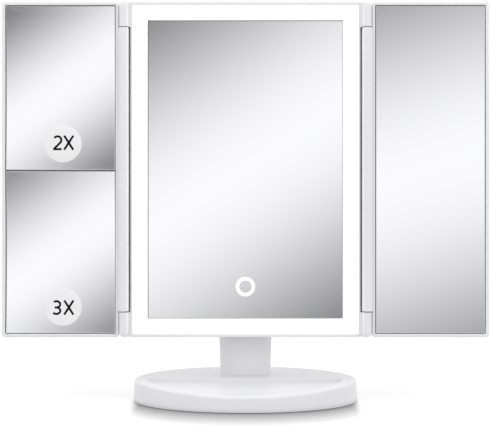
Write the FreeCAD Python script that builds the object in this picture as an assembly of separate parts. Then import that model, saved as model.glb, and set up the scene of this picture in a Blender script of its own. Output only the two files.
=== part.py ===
import FreeCAD, Part
import math
import os

from FreeCAD import Matrix, Vector

# Lighted trifold vanity mirror: an oval weighted foot, an oval neck with a friction tilt hinge, a lit
# centre panel, and two side panels that fold over it. Millimetres. The origin is on the table, midway
# across and midway front to back. X runs to the right as the user sees it, Y away from the user, Z up.

# --- Driving dimensions: centre panel ---
HEAD_WIDTH = 164.4
HEAD_HEIGHT = 237.3
HEAD_BOTTOM = 47.1
HEAD_DEPTH = 20.0
FRONT_Y = -15.0  # the plane of the panels' front rims
RIM = 2.3  # wall of the centre rim
RIM_DEPTH = 12.0
GLOW_BAND = 10.3  # width of the opal band round the mirror
HEAD_CORNER = 5.0
BACK_WALL = 2.0
BACK_ROUND = 4.0

# --- Driving dimensions: side panels and their hinges ---
HINGE_X = 86.35
HINGE_PROUD = 0.5  # how far the hinge line stands in front of the rims
BARREL_RADIUS = 3.7
CAP_HEIGHT = 17.6  # the fixed part of each hinge post, at the top and at the bottom
CAP_RADIUS = 3.05  # slimmer than the barrel, to stay clear of a side panel's edge as it swings round
RELIEF_X = 81.1  # beside a barrel the rim is cut back to here, to clear it
CAP_GAP = 0.7
STRIP_FRONT, STRIP_BACK = 5.4, 7.0
WING_INNER_X = 89.8
WING_OUTER_X = 172.45
WING_DEPTH = 9.0
WING_BACK = 1.8
WING_RIM = 2.1
GLASS_GAP = 0.6
PANE_GAP = 1.2  # between the two magnifying panes
PANE_SPLIT_DROP = 0.7  # how far the split lies below the middle
RADIUS_2X = 1000.0  # hollow of the weaker magnifying pane
RADIUS_3X = 750.0

# --- Driving dimensions: foot and neck ---
BASE_HALF_X = 80.2
BASE_HALF_Y = 60.0
BASE_TOP = 16.0  # at the middle; the top rises gently to the back
BASE_SLOPE = 0.018
DIP_START_Y = -20.0  # in front of this line the top curves down towards the user
DIP_RADIUS = 216.0
BASE_WALL = 2.2
WALL_LEAN = 0.043  # how far the foot's wall leans in for each millimetre of height
SHOULDER = 1.9  # rounding between the wall and the top
FOOT_PROUD = 0.6
TRAY_HALF_X, TRAY_HALF_Y = 70.5, 55.8
TRAY_DEPTH = 2.4
TRAY_CORNER = 6.0
NECK_FRONT_Y = 11.0
NECK_WALL = 2.2
TILT_Y = 19.0
TILT_Z = 84.0
TILT_RADIUS = 8.0
BARREL_HALF = 17.8  # half the length of the neck's hinge barrel
LUG_INNER, LUG_OUTER = 18.6, 25.6  # where the two lugs of the centre panel stand
AXLE_R = 3.0
TILT_BUSH_R = 4.5
SPINE_HALF_X = 8.0
SPINE_FRONT, SPINE_BACK = 17.5, 20.5

# --- Sizes that follow ---
HEAD_TOP = HEAD_BOTTOM + HEAD_HEIGHT
HEAD_MID = HEAD_BOTTOM + HEAD_HEIGHT / 2
OPAL_WIDTH = HEAD_WIDTH - 2 * RIM
OPAL_HEIGHT = HEAD_HEIGHT - 2 * RIM
MIRROR_WIDTH = OPAL_WIDTH - 2 * GLOW_BAND
MIRROR_HEIGHT = OPAL_HEIGHT - 2 * GLOW_BAND
HINGE_Y = FRONT_Y - HINGE_PROUD
WING_WIDTH = WING_OUTER_X - WING_INNER_X
WING_MID_X = (WING_OUTER_X + WING_INNER_X) / 2
WING_FLOOR = WING_DEPTH - WING_BACK - 1.2  # depth of the pocket that the glass lies in
GLASS_THICK = 2.0
GLASS_SET = 0.5  # how far the glass sits below its rim
FIT = 0.1
RUNNING_FIT = 0.05
SCREW_R = 1.3
SCREW_HEAD_R = 2.6
SCREW_HEAD = 1.3
PIN_R = 1.25  # hinge pins of the side panels
PIN_IN_CAP, PIN_IN_BARREL = 8.0, 9.0
HINGE_BUSH_R, HINGE_BUSH_LENGTH = 2.2, 11.0
PLATE_TOP = 3.1  # top of the plate that closes the foot
WEIGHT_FLOOR, WEIGHT_TOP = 3.3, 9.0
WEIGHT_HALF_X, WEIGHT_HALF_Y = 66.0, 42.0
SPINE_FLANGE_TOP = 11.2

# --- Inside the centre panel, as depths behind the front plane ---
MIRROR_FRONT, MIRROR_BACK = 0.4, 3.4
CARRIER_FRONT, CARRIER_BACK = 3.8, 5.8
CHANNEL_FLOOR, CHANNEL_BACK = 11.0, 12.5
BOARD_FRONT, BOARD_BACK = 12.9, 14.1
WALL_FRONT = HEAD_DEPTH - BACK_WALL

TOUCH_Z = HEAD_BOTTOM + 35.7
TOUCH_OUTER_R, TOUCH_INNER_R = 6.75, 4.6
LABEL_R = 13.3
LABEL_THICK = 0.15
LABEL_X = -129.5
LABEL_RISE = 18.5  # label centre above the lower edge of its pane

BAY_MID_Z = 177.0
BAY_HALF_X, BAY_HALF_Z = 25.0, 29.0
CELL_RADIUS = 5.2
CELL_LENGTH = 43.5
CELL_PITCH = 11.0
CELL_DEPTH = 12.6  # depth of the cells' centre line

SWITCH_X, SWITCH_Z = 45.0, 68.5
SWITCH_TRAVEL = 3.0
USB_X = -45.0

HEAD_SCREWS = [(sx * 73.6, z) for sx in (-1, 1) for z in (HEAD_BOTTOM + 9, HEAD_MID, HEAD_TOP - 9)]
BASE_SCREWS = [(sx * 30.0, sy * 40.0) for sx in (-1, 1) for sy in (-1, 1)]
FEET = [(sx * 52.0, sy * 28.0) for sx in (-1, 1) for sy in (-1, 1)]
FOOT_R = 6.0
NECK_SCREWS = [(sx * 10.0, 28.0) for sx in (-1, 1)]
NECK_SHELL_SCREWS_Z = (32.0, 62.0)
SPINE_SCREWS = [(sx * 5.0, 30.0) for sx in (-1, 1)]
BOARD_SCREWS = [(sx * 30.0, 69.0) for sx in (-1, 1)]


# --- Small makers ---
def block(x0, x1, y0, y1, z0, z1):
    """A box between two corners."""
    return Part.makeBox(x1 - x0, y1 - y0, z1 - z0, Vector(x0, y0, z0))


def depth(value):
    """The Y of a depth behind the panels' front plane."""
    return FRONT_Y + value


def slab(width, height, d0, d1, corner=0.0, x=0.0, z=HEAD_MID):
    """An upright plate with its face to the front, its corners rounded in front view."""
    plate = block(x - width / 2, x + width / 2, depth(d0), depth(d1), z - height / 2, z + height / 2)
    if corner <= 0:
        return plate
    edges = [e for e in plate.Edges if abs(e.tangentAt(e.FirstParameter).y) > 0.99]
    return plate.makeFillet(corner, edges)


def rod(radius, start, end):
    """A round bar from one point to another."""
    a, b = Vector(*start), Vector(*end)
    return Part.makeCylinder(radius, (b - a).Length, a, b - a)


def pipe(outer, inner, start, end):
    """A round bar with a bore right through it."""
    return rod(outer, start, end).cut(rod(inner, start, end))


def mirrored(shape):
    """The same piece on the other side of the middle plane."""
    return shape.mirror(Vector(0, 0, 0), Vector(1, 0, 0))


def joined(first, *others):
    """One solid from pieces that overlap."""
    for other in others:
        first = first.fuse(other)
    return first.removeSplitter().Solids[0]


def without(shape, *cutters):
    """The shape with each cutter taken away."""
    for cutter in cutters:
        shape = shape.cut(cutter)
    return shape


def soften(shape, radius, wanted):
    """Rounds the edges that the test picks."""
    return shape.makeFillet(radius, [e for e in shape.Edges if wanted(e)])


def lies_at_y(y):
    """Picks the edges that lie in one plane across Y."""
    return lambda e: abs(e.BoundBox.YMin - y) < 1e-4 and abs(e.BoundBox.YMax - y) < 1e-4


def save(name, *pieces):
    """Writes one node: a single solid, or a group of separate like solids."""
    solids = [s for piece in pieces for s in piece.Solids]
    for solid in solids:
        if not solid.isValid():
            raise ValueError(name + " is not a valid solid")
    shape = solids[0] if len(solids) == 1 else Part.makeCompound(solids)
    shape.exportStep("parts/" + name + ".step")
    print("%-22s %3d %12.1f mm3" % (name, len(solids), sum(s.Volume for s in solids)))


def screw(head_at, point_at, shank=SCREW_R, head=SCREW_HEAD_R, head_thick=SCREW_HEAD):
    """A pan-head screw with a cross recess, from the top of its head to its point."""
    a, b = Vector(*head_at), Vector(*point_at)
    way = (b - a).normalize()
    across = Vector(1, 0, 0) if abs(way.x) < 0.5 else Vector(0, 1, 0)
    other = way.cross(across)
    body = joined(
        Part.makeCylinder(head, head_thick, a, way),
        Part.makeCylinder(shank, (b - a).Length - shank, a, way),
        Part.makeCone(shank, 0.2, shank, b - way * shank, way),
    )
    half, wide, deep = head * 0.55, head * 0.13, head_thick * 0.6
    for u, v in ((across, other), (other, across)):
        low, high = a - v * wide, a + v * wide
        corners = [low - u * half, low + u * half, high + u * half, high - u * half]
        slot = Part.Face(Part.makePolygon(corners + corners[:1])).extrude(way * deep)
        body = body.cut(slot)
    return body


# --- Foot ---
def oval_wall(inset, z0, z1):
    """An oval block whose wall leans in as it rises."""
    low = BASE_HALF_X - inset - WALL_LEAN * z0
    high = BASE_HALF_X - inset - WALL_LEAN * z1
    cone = Part.makeCone(low, high, z1 - z0, Vector(0, 0, z0))
    squeeze = Matrix()
    squeeze.A22 = BASE_HALF_Y / BASE_HALF_X
    return cone.transformGeometry(squeeze)


def under_roof(drop):
    """All that lies a given drop below the foot's top: a gentle slope, then an arc down to the front."""
    lean = math.atan(BASE_SLOPE)
    start = Vector(0, DIP_START_Y, BASE_TOP + BASE_SLOPE * DIP_START_Y - drop)
    centre = start + Vector(0, math.sin(lean), -math.cos(lean)) * DIP_RADIUS

    def on_arc(turn):
        return centre + Vector(0, -math.sin(lean + turn), math.cos(lean + turn)) * DIP_RADIUS

    back = Vector(0, 80, BASE_TOP + BASE_SLOPE * 80 - drop)
    middle, front = on_arc(0.12), on_arc(0.24)
    edges = [
        Part.LineSegment(back, start).toShape(),
        Part.Arc(start, middle, front).toShape(),
        Part.LineSegment(front, Vector(0, front.y, -20)).toShape(),
        Part.LineSegment(Vector(0, front.y, -20), Vector(0, 80, -20)).toShape(),
        Part.LineSegment(Vector(0, 80, -20), back).toShape(),
    ]
    side = Part.Face(Part.Wire(edges))
    side.translate(Vector(-100, 0, 0))
    return side.extrude(Vector(200, 0, 0))


def is_foot_rim(edge):
    """Picks the edge between the foot's wall and its top, and not the line where the top begins to dip."""
    middle = edge.valueAt((edge.FirstParameter + edge.LastParameter) / 2)
    reach = math.hypot(middle.x / BASE_HALF_X, middle.y / BASE_HALF_Y)
    return edge.BoundBox.ZMin > 5.0 and reach > 0.95 and edge.BoundBox.ZLength < 5.0


def base_outside():
    """The whole outer form of the foot, its top edge rounded."""
    form = oval_wall(0.0, FOOT_PROUD, 24.0).common(under_roof(0.0))
    return soften(form, SHOULDER, is_foot_rim)


def tray_plan(grow, z0, z1):
    """The plan of the tray: half an oval in front of the middle line, its two corners rounded."""
    half_x, half_y = TRAY_HALF_X + grow, TRAY_HALF_Y + grow
    wire = Part.Wire([Part.Ellipse(Vector(0, 0, z0), half_x, half_y).toShape()])
    oval = Part.Face(wire).extrude(Vector(0, 0, z1 - z0))
    half = block(-half_x, half_x, -70, grow, z0, z1)
    upright = [e for e in half.Edges if abs(e.tangentAt(e.FirstParameter).z) > 0.99]
    rear = [e for e in upright if e.BoundBox.YMin > -BASE_HALF_Y]
    return oval.common(half.makeFillet(TRAY_CORNER, rear))


def base_top_shell(outside, neck_hole):
    """Moulded top of the foot, with the shallow tray in front and bosses for the plate's screws."""
    tray = tray_plan(0.0, 2.0, 24.0).cut(under_roof(TRAY_DEPTH))
    pan = tray_plan(BASE_WALL, 2.0, 24.0).cut(under_roof(TRAY_DEPTH + BASE_WALL))
    hollow = oval_wall(BASE_WALL, -2.0, 24.0).common(under_roof(BASE_WALL)).cut(pan)
    shell = outside.cut(hollow).cut(tray)
    bosses = [rod(3.2, (x, y, 3.2), (x, y, 11.0 if y < 0 else 15.0)) for x, y in BASE_SCREWS]
    shell = joined(shell, *bosses)
    holes = [rod(SCREW_R + RUNNING_FIT, (x, y, 2.0), (x, y, 10.4)) for x, y in BASE_SCREWS]
    foot_holes = [rod(SCREW_R + 0.3, (x, y, 8.0), (x, y, 22.0)) for x, y in NECK_SCREWS]
    return without(shell, neck_hole, *holes, *foot_holes)


def base_bottom_plate():
    """Flat plate that closes the foot, with pockets for the feet and the screw heads."""
    inset = BASE_WALL + 0.3
    half_x = BASE_HALF_X - inset
    half_y = BASE_HALF_Y - inset
    wire = Part.Wire([Part.Ellipse(Vector(0, 0, FOOT_PROUD), half_x - 0.4, half_y - 0.4).toShape()])
    plate = Part.Face(wire).extrude(Vector(0, 0, PLATE_TOP - FOOT_PROUD))
    pockets = [rod(FOOT_R + FIT, (x, y, 0), (x, y, FOOT_PROUD + 0.9)) for x, y in FEET]
    heads = [rod(SCREW_HEAD_R + 0.2, (x, y, 0), (x, y, 2.2)) for x, y in BASE_SCREWS]
    shanks = [rod(SCREW_R + 0.2, (x, y, 0), (x, y, 4)) for x, y in BASE_SCREWS]
    return without(plate, *pockets, *heads, *shanks)


def base_weight():
    """Oval steel plate that keeps the foot down, holed where the bosses pass it."""
    wire = Part.Wire([Part.Ellipse(Vector(0, 0, WEIGHT_FLOOR), WEIGHT_HALF_X, WEIGHT_HALF_Y).toShape()])
    plate = Part.Face(wire).extrude(Vector(0, 0, WEIGHT_TOP - WEIGHT_FLOOR))
    bosses = [rod(4.0, (x, y, 0), (x, y, 12)) for x, y in BASE_SCREWS]
    threads = [rod(SCREW_R + RUNNING_FIT, (x, y, 0), (x, y, 12)) for x, y in SPINE_SCREWS]
    return without(plate, *bosses, *threads)


# --- Neck ---
# Height, half width and half depth of the column's ovals.
NECK_SECTIONS = [
    (8.0, 19.1, 12.0),
    (36.0, 19.1, 11.6),
    (60.0, 18.9, 9.6),
    (74.0, 18.0, 8.2),
    (84.0, 17.6, 8.0),
]


def neck_form(inset, z_top):
    """The neck's oval column, its front upright and its back leaning in towards the hinge."""
    wires = []
    for z, half_x, half_y in NECK_SECTIONS:
        oval = Part.Ellipse(Vector(0, NECK_FRONT_Y + half_y, z), half_x - inset, half_y - inset)
        wires.append(Part.Wire([oval.toShape()]))
    column = Part.makeLoft(wires, True, False)
    return column.common(block(-40, 40, 0, 60, 0, z_top))


def neck_hollow():
    """The room inside the neck, closed below by a foot 2.4 mm thick."""
    return neck_form(NECK_WALL, 73.0).common(block(-40, 40, 0, 60, BASE_TOP + 2.8, 73.0))


def spine_slot(grow, z0, z1):
    """The way that the spine takes up through the foot and the neck."""
    half = SPINE_HALF_X + 1 + grow
    return block(-half, half, SPINE_FRONT - grow, SPINE_BACK + grow, z0, z1)


def neck_shells(outside):
    """The neck's front and back mouldings, parted on an upright plane through the hinge line."""
    barrel = rod(TILT_RADIUS, (-BARREL_HALF, TILT_Y, TILT_Z), (BARREL_HALF, TILT_Y, TILT_Z))
    column = joined(neck_form(0.0, TILT_Z), barrel).cut(neck_hollow())
    posts = [rod(3.0, (x, y, BASE_TOP + 2.0), (x, y, 29.0)) for x, y in NECK_SCREWS]
    ties = [rod(3.0, (0, 12.0, z), (0, 17.2, z)) for z in NECK_SHELL_SCREWS_Z]
    inside = neck_form(0.2, TILT_Z)
    backs = [rod(3.0, (0, 20.8, z), (0, 31.0, z)).common(inside) for z in NECK_SHELL_SCREWS_Z]
    column = joined(column, *posts, *ties, *backs)
    bore = rod(TILT_BUSH_R, (-20, TILT_Y, TILT_Z), (20, TILT_Y, TILT_Z))
    eye_room = rod(5.2, (-9.2, TILT_Y, TILT_Z), (9.2, TILT_Y, TILT_Z))
    foot_threads = [rod(SCREW_R + RUNNING_FIT, (x, y, 10), (x, y, 27.0)) for x, y in NECK_SCREWS]
    tie_threads = [rod(SCREW_R + RUNNING_FIT, (0, 12.6, z), (0, 26, z)) for z in NECK_SHELL_SCREWS_Z]
    heads = [rod(SCREW_HEAD_R + 0.1, (0, 24.0, z), (0, 45, z)) for z in NECK_SHELL_SCREWS_Z]
    slot = spine_slot(0.3, 5, TILT_Z)
    column = without(column, bore, eye_room, slot, *foot_threads, *tie_threads, *heads)
    front = column.common(block(-40, 40, 0, TILT_Y, 0, 120))
    rear = column.common(block(-40, 40, TILT_Y + 0.1, 60, 0, 120))
    return front.cut(outside), rear.cut(outside)


def neck_spine():
    """Steel strip that carries the load: a flange on the weight, an upright, an eye at the hinge."""
    half = SPINE_HALF_X
    upright = block(-half, half, SPINE_FRONT, SPINE_BACK, WEIGHT_TOP, TILT_Z - 4)
    flange = block(-half, half, SPINE_FRONT, 34.0, WEIGHT_TOP, SPINE_FLANGE_TOP)
    eye = rod(TILT_BUSH_R, (-half, TILT_Y, TILT_Z), (half, TILT_Y, TILT_Z))
    strip = joined(upright, flange, eye)
    bore = rod(AXLE_R + RUNNING_FIT, (-10, TILT_Y, TILT_Z), (10, TILT_Y, TILT_Z))
    passes = [rod(2.0, (0, 10, z), (0, 25, z)) for z in NECK_SHELL_SCREWS_Z]
    holes = [rod(SCREW_R + 0.1, (x, y, 5), (x, y, 15)) for x, y in SPINE_SCREWS]
    return without(strip, bore, *passes, *holes)


def tilt_bush():
    """Nylon bush in one end of the neck's barrel."""
    ends = (9.4, TILT_Y, TILT_Z), (BARREL_HALF, TILT_Y, TILT_Z)
    return pipe(TILT_BUSH_R, AXLE_R + RUNNING_FIT, *ends)


def tilt_axle():
    """Steel axle with a round head, fixed in the panel's two lugs."""
    bar = rod(AXLE_R, (-22.2, TILT_Y, TILT_Z), (24.2, TILT_Y, TILT_Z))
    head = rod(5.0, (-24.2, TILT_Y, TILT_Z), (-21.8, TILT_Y, TILT_Z))
    return joined(bar, head)


def tilt_nut():
    """Hexagon nut that sets the hinge's friction."""
    ring = []
    for i in range(6):
        turn = math.pi / 3 * i
        ring.append(Vector(21.8, TILT_Y + 5.1 * math.cos(turn), TILT_Z + 5.1 * math.sin(turn)))
    nut = Part.Face(Part.makePolygon(ring + ring[:1])).extrude(Vector(2.2, 0, 0))
    return nut.cut(rod(AXLE_R, (20, TILT_Y, TILT_Z), (26, TILT_Y, TILT_Z)))


def tilt_washer():
    """Friction washer between the barrel's end and a lug."""
    near, far = BARREL_HALF + 0.15, LUG_INNER - 0.15
    return pipe(7.0, AXLE_R + RUNNING_FIT, (near, TILT_Y, TILT_Z), (far, TILT_Y, TILT_Z))


def tilt_cover():
    """Moulded plug over the axle's end."""
    disc = rod(5.5, (24.5, TILT_Y, TILT_Z), (25.9, TILT_Y, TILT_Z))
    return soften(disc, 0.5, lambda e: e.BoundBox.XMin > 25.8)


# --- Centre panel ---
def hinge_cap(z0, z1):
    """Fixed end of a hinge post: a round front on a block that runs into the centre rim."""
    round_front = rod(CAP_RADIUS, (HINGE_X, HINGE_Y, z0), (HINGE_X, HINGE_Y, z1))
    root = block(HEAD_WIDTH / 2 - 1.5, HINGE_X + CAP_RADIUS, HINGE_Y, depth(STRIP_BACK), z0, z1)
    return joined(round_front, root)


def hinge_strip():
    """Strip behind a side panel's barrel, from one cap to the other. It closes the gap at the rim."""
    low, high = HEAD_BOTTOM + CAP_HEIGHT - 0.5, HEAD_TOP - CAP_HEIGHT + 0.5
    inner, outer = HEAD_WIDTH / 2 - 1.5, HINGE_X + CAP_RADIUS
    return block(inner, outer, depth(STRIP_FRONT), depth(STRIP_BACK), low, high)


def centre_rim():
    """Moulded rim of the centre panel with the four fixed hinge caps."""
    post_width = 2 * (HINGE_X + CAP_RADIUS)
    low, high = HEAD_BOTTOM + CAP_HEIGHT, HEAD_TOP - CAP_HEIGHT
    relief = block(RELIEF_X, HEAD_WIDTH / 2 + 1, depth(-1), depth(STRIP_FRONT), low, high)
    ring = slab(HEAD_WIDTH, HEAD_HEIGHT, 0, RIM_DEPTH, HEAD_CORNER).cut(relief).cut(mirrored(relief))
    caps = []
    for z0, z1 in ((HEAD_BOTTOM, low), (high, HEAD_TOP)):
        cap = hinge_cap(z0, z1)
        caps += [cap, mirrored(cap)]
    outline = slab(post_width, HEAD_HEIGHT, -6, RIM_DEPTH, HEAD_CORNER)
    strip = hinge_strip()
    form = joined(ring, *caps, strip, mirrored(strip)).common(outline)
    form = form.cut(slab(OPAL_WIDTH, OPAL_HEIGHT, -6, RIM_DEPTH + 1))
    pins = []
    for sx in (-1, 1):
        for z in (low - 8, high - 1):
            pins.append(rod(PIN_R, (sx * HINGE_X, HINGE_Y, z), (sx * HINGE_X, HINGE_Y, z + 9)))
    return without(form, *pins)


def light_diffuser():
    """Opal acrylic frame round the mirror, with a skirt that stands on the light channel's floor."""
    outer_w, outer_h = OPAL_WIDTH - 2 * FIT, OPAL_HEIGHT - 2 * FIT
    face = slab(outer_w, outer_h, 0.3, 3.3)
    skirt = slab(outer_w, outer_h, 3.2, CHANNEL_FLOOR).cut(slab(outer_w - 2.4, outer_h - 2.4, 3.0, 12))
    hole = slab(MIRROR_WIDTH + 2 * FIT, MIRROR_HEIGHT + 2 * FIT, 0, 3.3)
    return joined(face, skirt).cut(hole)


def centre_mirror():
    """Plain silvered glass with a fine polished arris."""
    glass = slab(MIRROR_WIDTH - 2 * FIT, MIRROR_HEIGHT - 2 * FIT, MIRROR_FRONT, MIRROR_BACK)
    front = [e for e in glass.Edges if lies_at_y(depth(MIRROR_FRONT))(e)]
    return glass.makeChamfer(0.35, front)


def mirror_carrier():
    """White reflector behind the mirror: its plate, the light channel's wall and floor, bosses."""
    outer_w, outer_h = MIRROR_WIDTH - 0.6, MIRROR_HEIGHT - 0.6
    plate = slab(outer_w, outer_h, CARRIER_FRONT, CARRIER_BACK)
    wall = slab(outer_w, outer_h, CARRIER_FRONT, CHANNEL_BACK).cut(
        slab(outer_w - 3.2, outer_h - 3.2, CARRIER_BACK - 0.1, CHANNEL_BACK + 1)
    )
    floor_w, floor_h = OPAL_WIDTH - 0.4, OPAL_HEIGHT - 0.4
    floor = slab(floor_w, floor_h, CHANNEL_FLOOR, CHANNEL_BACK, HEAD_CORNER - RIM).cut(
        slab(outer_w - 3.2, outer_h - 3.2, CHANNEL_FLOOR - 1, CHANNEL_BACK + 1)
    )
    boss_y = depth(CHANNEL_BACK - 0.5)
    bosses = [rod(3.4, (x, boss_y, z), (x, depth(WALL_FRONT), z)) for x, z in HEAD_SCREWS]
    carrier = joined(plate, wall, floor, *bosses)
    holes = []
    for x, z in HEAD_SCREWS:
        holes.append(rod(SCREW_R + RUNNING_FIT, (x, depth(CHANNEL_BACK + 0.4), z), (x, depth(20), z)))
    touch_hole = rod(8.0, (0, depth(3), TOUCH_Z), (0, depth(7), TOUCH_Z))
    return without(carrier, touch_hole, *holes)


def mirror_tape():
    """Foam tape strips that bond the mirror to its carrier."""
    strips = []
    for sx in (-1, 1):
        strips.append(slab(12, MIRROR_HEIGHT - 20, MIRROR_BACK, CARRIER_FRONT, x=sx * 52))
    return strips


def led_board(side):
    """One LED strip on the light channel's floor: top, bottom, left or right."""
    centre_x = (OPAL_WIDTH - GLOW_BAND) / 2
    centre_z = (OPAL_HEIGHT - GLOW_BAND) / 2
    d0, d1 = CHANNEL_FLOOR - 1.0, CHANNEL_FLOOR
    if side in ("top", "bottom"):
        sign = 1 if side == "top" else -1
        return slab(MIRROR_WIDTH - 6, 5.0, d0, d1, z=HEAD_MID + sign * centre_z)
    sign = 1 if side == "right" else -1
    return slab(5.0, MIRROR_HEIGHT - 6, d0, d1, x=sign * centre_x)


def led_chips():
    """Twenty-two white LEDs: four on each short strip, seven on each long strip."""
    centre_x = (OPAL_WIDTH - GLOW_BAND) / 2
    centre_z = (OPAL_HEIGHT - GLOW_BAND) / 2
    spots = []
    for sign in (-1, 1):
        for i in range(4):
            spots.append(((i - 1.5) * 34.0, HEAD_MID + sign * centre_z))
        for i in range(7):
            spots.append((sign * centre_x, HEAD_MID + (i - 3) * 30.0))
    d1 = CHANNEL_FLOOR - 1.0
    return [slab(2.8, 3.5, d1 - 0.8, d1, x=x, z=z) for x, z in spots]


def touch_ring_guide():
    """Clear ring that carries light to the ring left bare in the silvering."""
    ends = (0, depth(MIRROR_BACK), TOUCH_Z), (0, depth(6.4), TOUCH_Z)
    return pipe(TOUCH_OUTER_R, TOUCH_INNER_R, *ends)


def touch_board():
    """Round touch sensor board behind the ring, with its electrode and one LED."""
    disc = rod(10.0, (0, depth(6.4), TOUCH_Z), (0, depth(7.4), TOUCH_Z))
    electrode = rod(TOUCH_INNER_R - 0.5, (0, depth(5.6), TOUCH_Z), (0, depth(6.5), TOUCH_Z))
    return joined(disc, electrode)


def control_board():
    """Driver board on two posts, with its chip, coil and capacitor."""
    board = slab(108, 18, BOARD_FRONT, BOARD_BACK, 1.0, z=69.0)
    chip = slab(5, 4, BOARD_BACK - 0.1, BOARD_BACK + 1.4, x=-6, z=70)
    coil = rod(3.0, (12, depth(BOARD_BACK - 0.1), 70), (12, depth(BOARD_BACK + 2.6), 70))
    can = rod(2.0, (-18, depth(BOARD_BACK - 0.1), 67), (-18, depth(BOARD_BACK + 3.0), 67))
    holes = [rod(1.6, (x, depth(12), z), (x, depth(16), z)) for x, z in BOARD_SCREWS]
    return without(joined(board, chip, coil, can), *holes)


def usb_socket():
    """Power inlet: a folded steel shell with its tongue, facing the back."""
    shell = slab(7.8, 3.0, BOARD_BACK, HEAD_DEPTH - 0.6, 0.7, x=USB_X, z=69.0)
    room = slab(7.0, 2.2, BOARD_BACK + 1.2, HEAD_DEPTH, 0.5, x=USB_X, z=69.0)
    tongue = slab(3.6, 0.6, BOARD_BACK + 1.0, HEAD_DEPTH - 1.8, x=USB_X, z=69.4)
    return joined(shell.cut(room), tongue)


def switch_body():
    """Slide switch on the driver board, open to the back for its knob."""
    middle = SWITCH_X + SWITCH_TRAVEL / 2
    body = slab(10.0, 5.0, BOARD_BACK, WALL_FRONT - 0.2, x=middle, z=SWITCH_Z)
    room = slab(7.2, 2.4, BOARD_BACK + 0.8, HEAD_DEPTH, x=middle, z=SWITCH_Z)
    return body.cut(room)


def switch_knob():
    """Ridged knob of the slide switch, standing 1.2 mm out of the back."""
    stem = slab(3.2, 1.8, BOARD_BACK + 1.2, HEAD_DEPTH + 1.2, x=SWITCH_X, z=SWITCH_Z)
    for shift in (-0.9, 0.0, 0.9):
        groove = slab(0.4, 2.0, HEAD_DEPTH + 0.85, HEAD_DEPTH + 2, x=SWITCH_X + shift, z=SWITCH_Z)
        stem = stem.cut(groove)
    return stem


def tilt_lug():
    """One of the two lugs on the back that hold the tilt axle."""
    eye = rod(TILT_RADIUS, (LUG_INNER, TILT_Y, TILT_Z), (LUG_OUTER, TILT_Y, TILT_Z))
    low, high = TILT_Z - TILT_RADIUS, TILT_Z + TILT_RADIUS
    arm = block(LUG_INNER, LUG_OUTER, depth(WALL_FRONT + 0.5), TILT_Y, low, high)
    return joined(eye, arm)


def rear_housing():
    """Back shell of the centre panel: lugs for the hinge, battery opening, switch slot and inlet."""
    shell = slab(HEAD_WIDTH, HEAD_HEIGHT, RIM_DEPTH, HEAD_DEPTH, HEAD_CORNER)
    shell = soften(shell, BACK_ROUND, lies_at_y(depth(HEAD_DEPTH)))
    shell = shell.cut(slab(OPAL_WIDTH, OPAL_HEIGHT, RIM_DEPTH - 1, WALL_FRONT, HEAD_CORNER - RIM))
    lug = tilt_lug()
    post_y = depth(BOARD_BACK), depth(WALL_FRONT + 0.5)
    posts = [rod(2.5, (x, post_y[0], z), (x, post_y[1], z)) for x, z in BOARD_SCREWS]
    shell = joined(shell, lug, mirrored(lug), *posts)
    opening = slab(2 * BAY_HALF_X, 2 * BAY_HALF_Z, WALL_FRONT - 1, HEAD_DEPTH + 1, 2.0, z=BAY_MID_Z)
    slot = slab(7.2, 2.6, WALL_FRONT - 1, HEAD_DEPTH + 1, x=SWITCH_X + SWITCH_TRAVEL / 2, z=SWITCH_Z)
    inlet = slab(8.4, 3.6, WALL_FRONT - 1, HEAD_DEPTH + 1, 1.0, x=USB_X, z=69.0)
    axle = rod(AXLE_R, (-30, TILT_Y, TILT_Z), (30, TILT_Y, TILT_Z))
    recesses = []
    for sx in (-1, 1):
        recesses.append(rod(5.6, (sx * 21.8, TILT_Y, TILT_Z), (sx * 30, TILT_Y, TILT_Z)))
    holes = []
    for x, z in HEAD_SCREWS:
        holes.append(rod(SCREW_R + 0.2, (x, depth(16), z), (x, depth(21), z)))
        holes.append(rod(SCREW_HEAD_R + 0.2, (x, depth(HEAD_DEPTH - 1.0), z), (x, depth(22), z)))
    threads = [rod(0.9, (x, depth(13), z), (x, depth(WALL_FRONT + 1), z)) for x, z in BOARD_SCREWS]
    return without(shell, opening, slot, inlet, axle, *recesses, *holes, *threads)


def battery_tray():
    """Open-backed box behind the mirror for four cells side by side."""
    width, height = 2 * BAY_HALF_X - 1.0, 2 * BAY_HALF_Z - 1.0
    box = slab(width, height, 6.2, WALL_FRONT - FIT, 1.5, z=BAY_MID_Z)
    room = slab(width - 2.4, height - 2.4, 7.2, WALL_FRONT + 1, 0.5, z=BAY_MID_Z)
    return box.cut(room)


def cell_places():
    """Centre line X and which way up for each of the four cells."""
    return [((i - 1.5) * CELL_PITCH, 1 if i % 2 == 0 else -1) for i in range(4)]


def cell(x, way):
    """One dry cell, its nub at the end that the sign gives."""
    y = depth(CELL_DEPTH)
    half = CELL_LENGTH / 2
    can = rod(CELL_RADIUS, (x, y, BAY_MID_Z - half), (x, y, BAY_MID_Z + half))
    can = soften(can, 0.5, lambda e: e.Curve.TypeId == "Part::GeomCircle")
    nub = rod(1.9, (x, y, BAY_MID_Z + way * (half - 0.2)), (x, y, BAY_MID_Z + way * (half + 1.0)))
    return joined(can, nub)


def contact_plates():
    """Nickelled plates at both ends of each cell."""
    edge = BAY_HALF_Z - 1.7
    plates = []
    for x, _ in cell_places():
        for way in (-1, 1):
            plates.append(slab(8.0, 0.4, 8.6, 16.6, x=x, z=BAY_MID_Z + way * (edge - 0.2)))
    return plates


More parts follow.
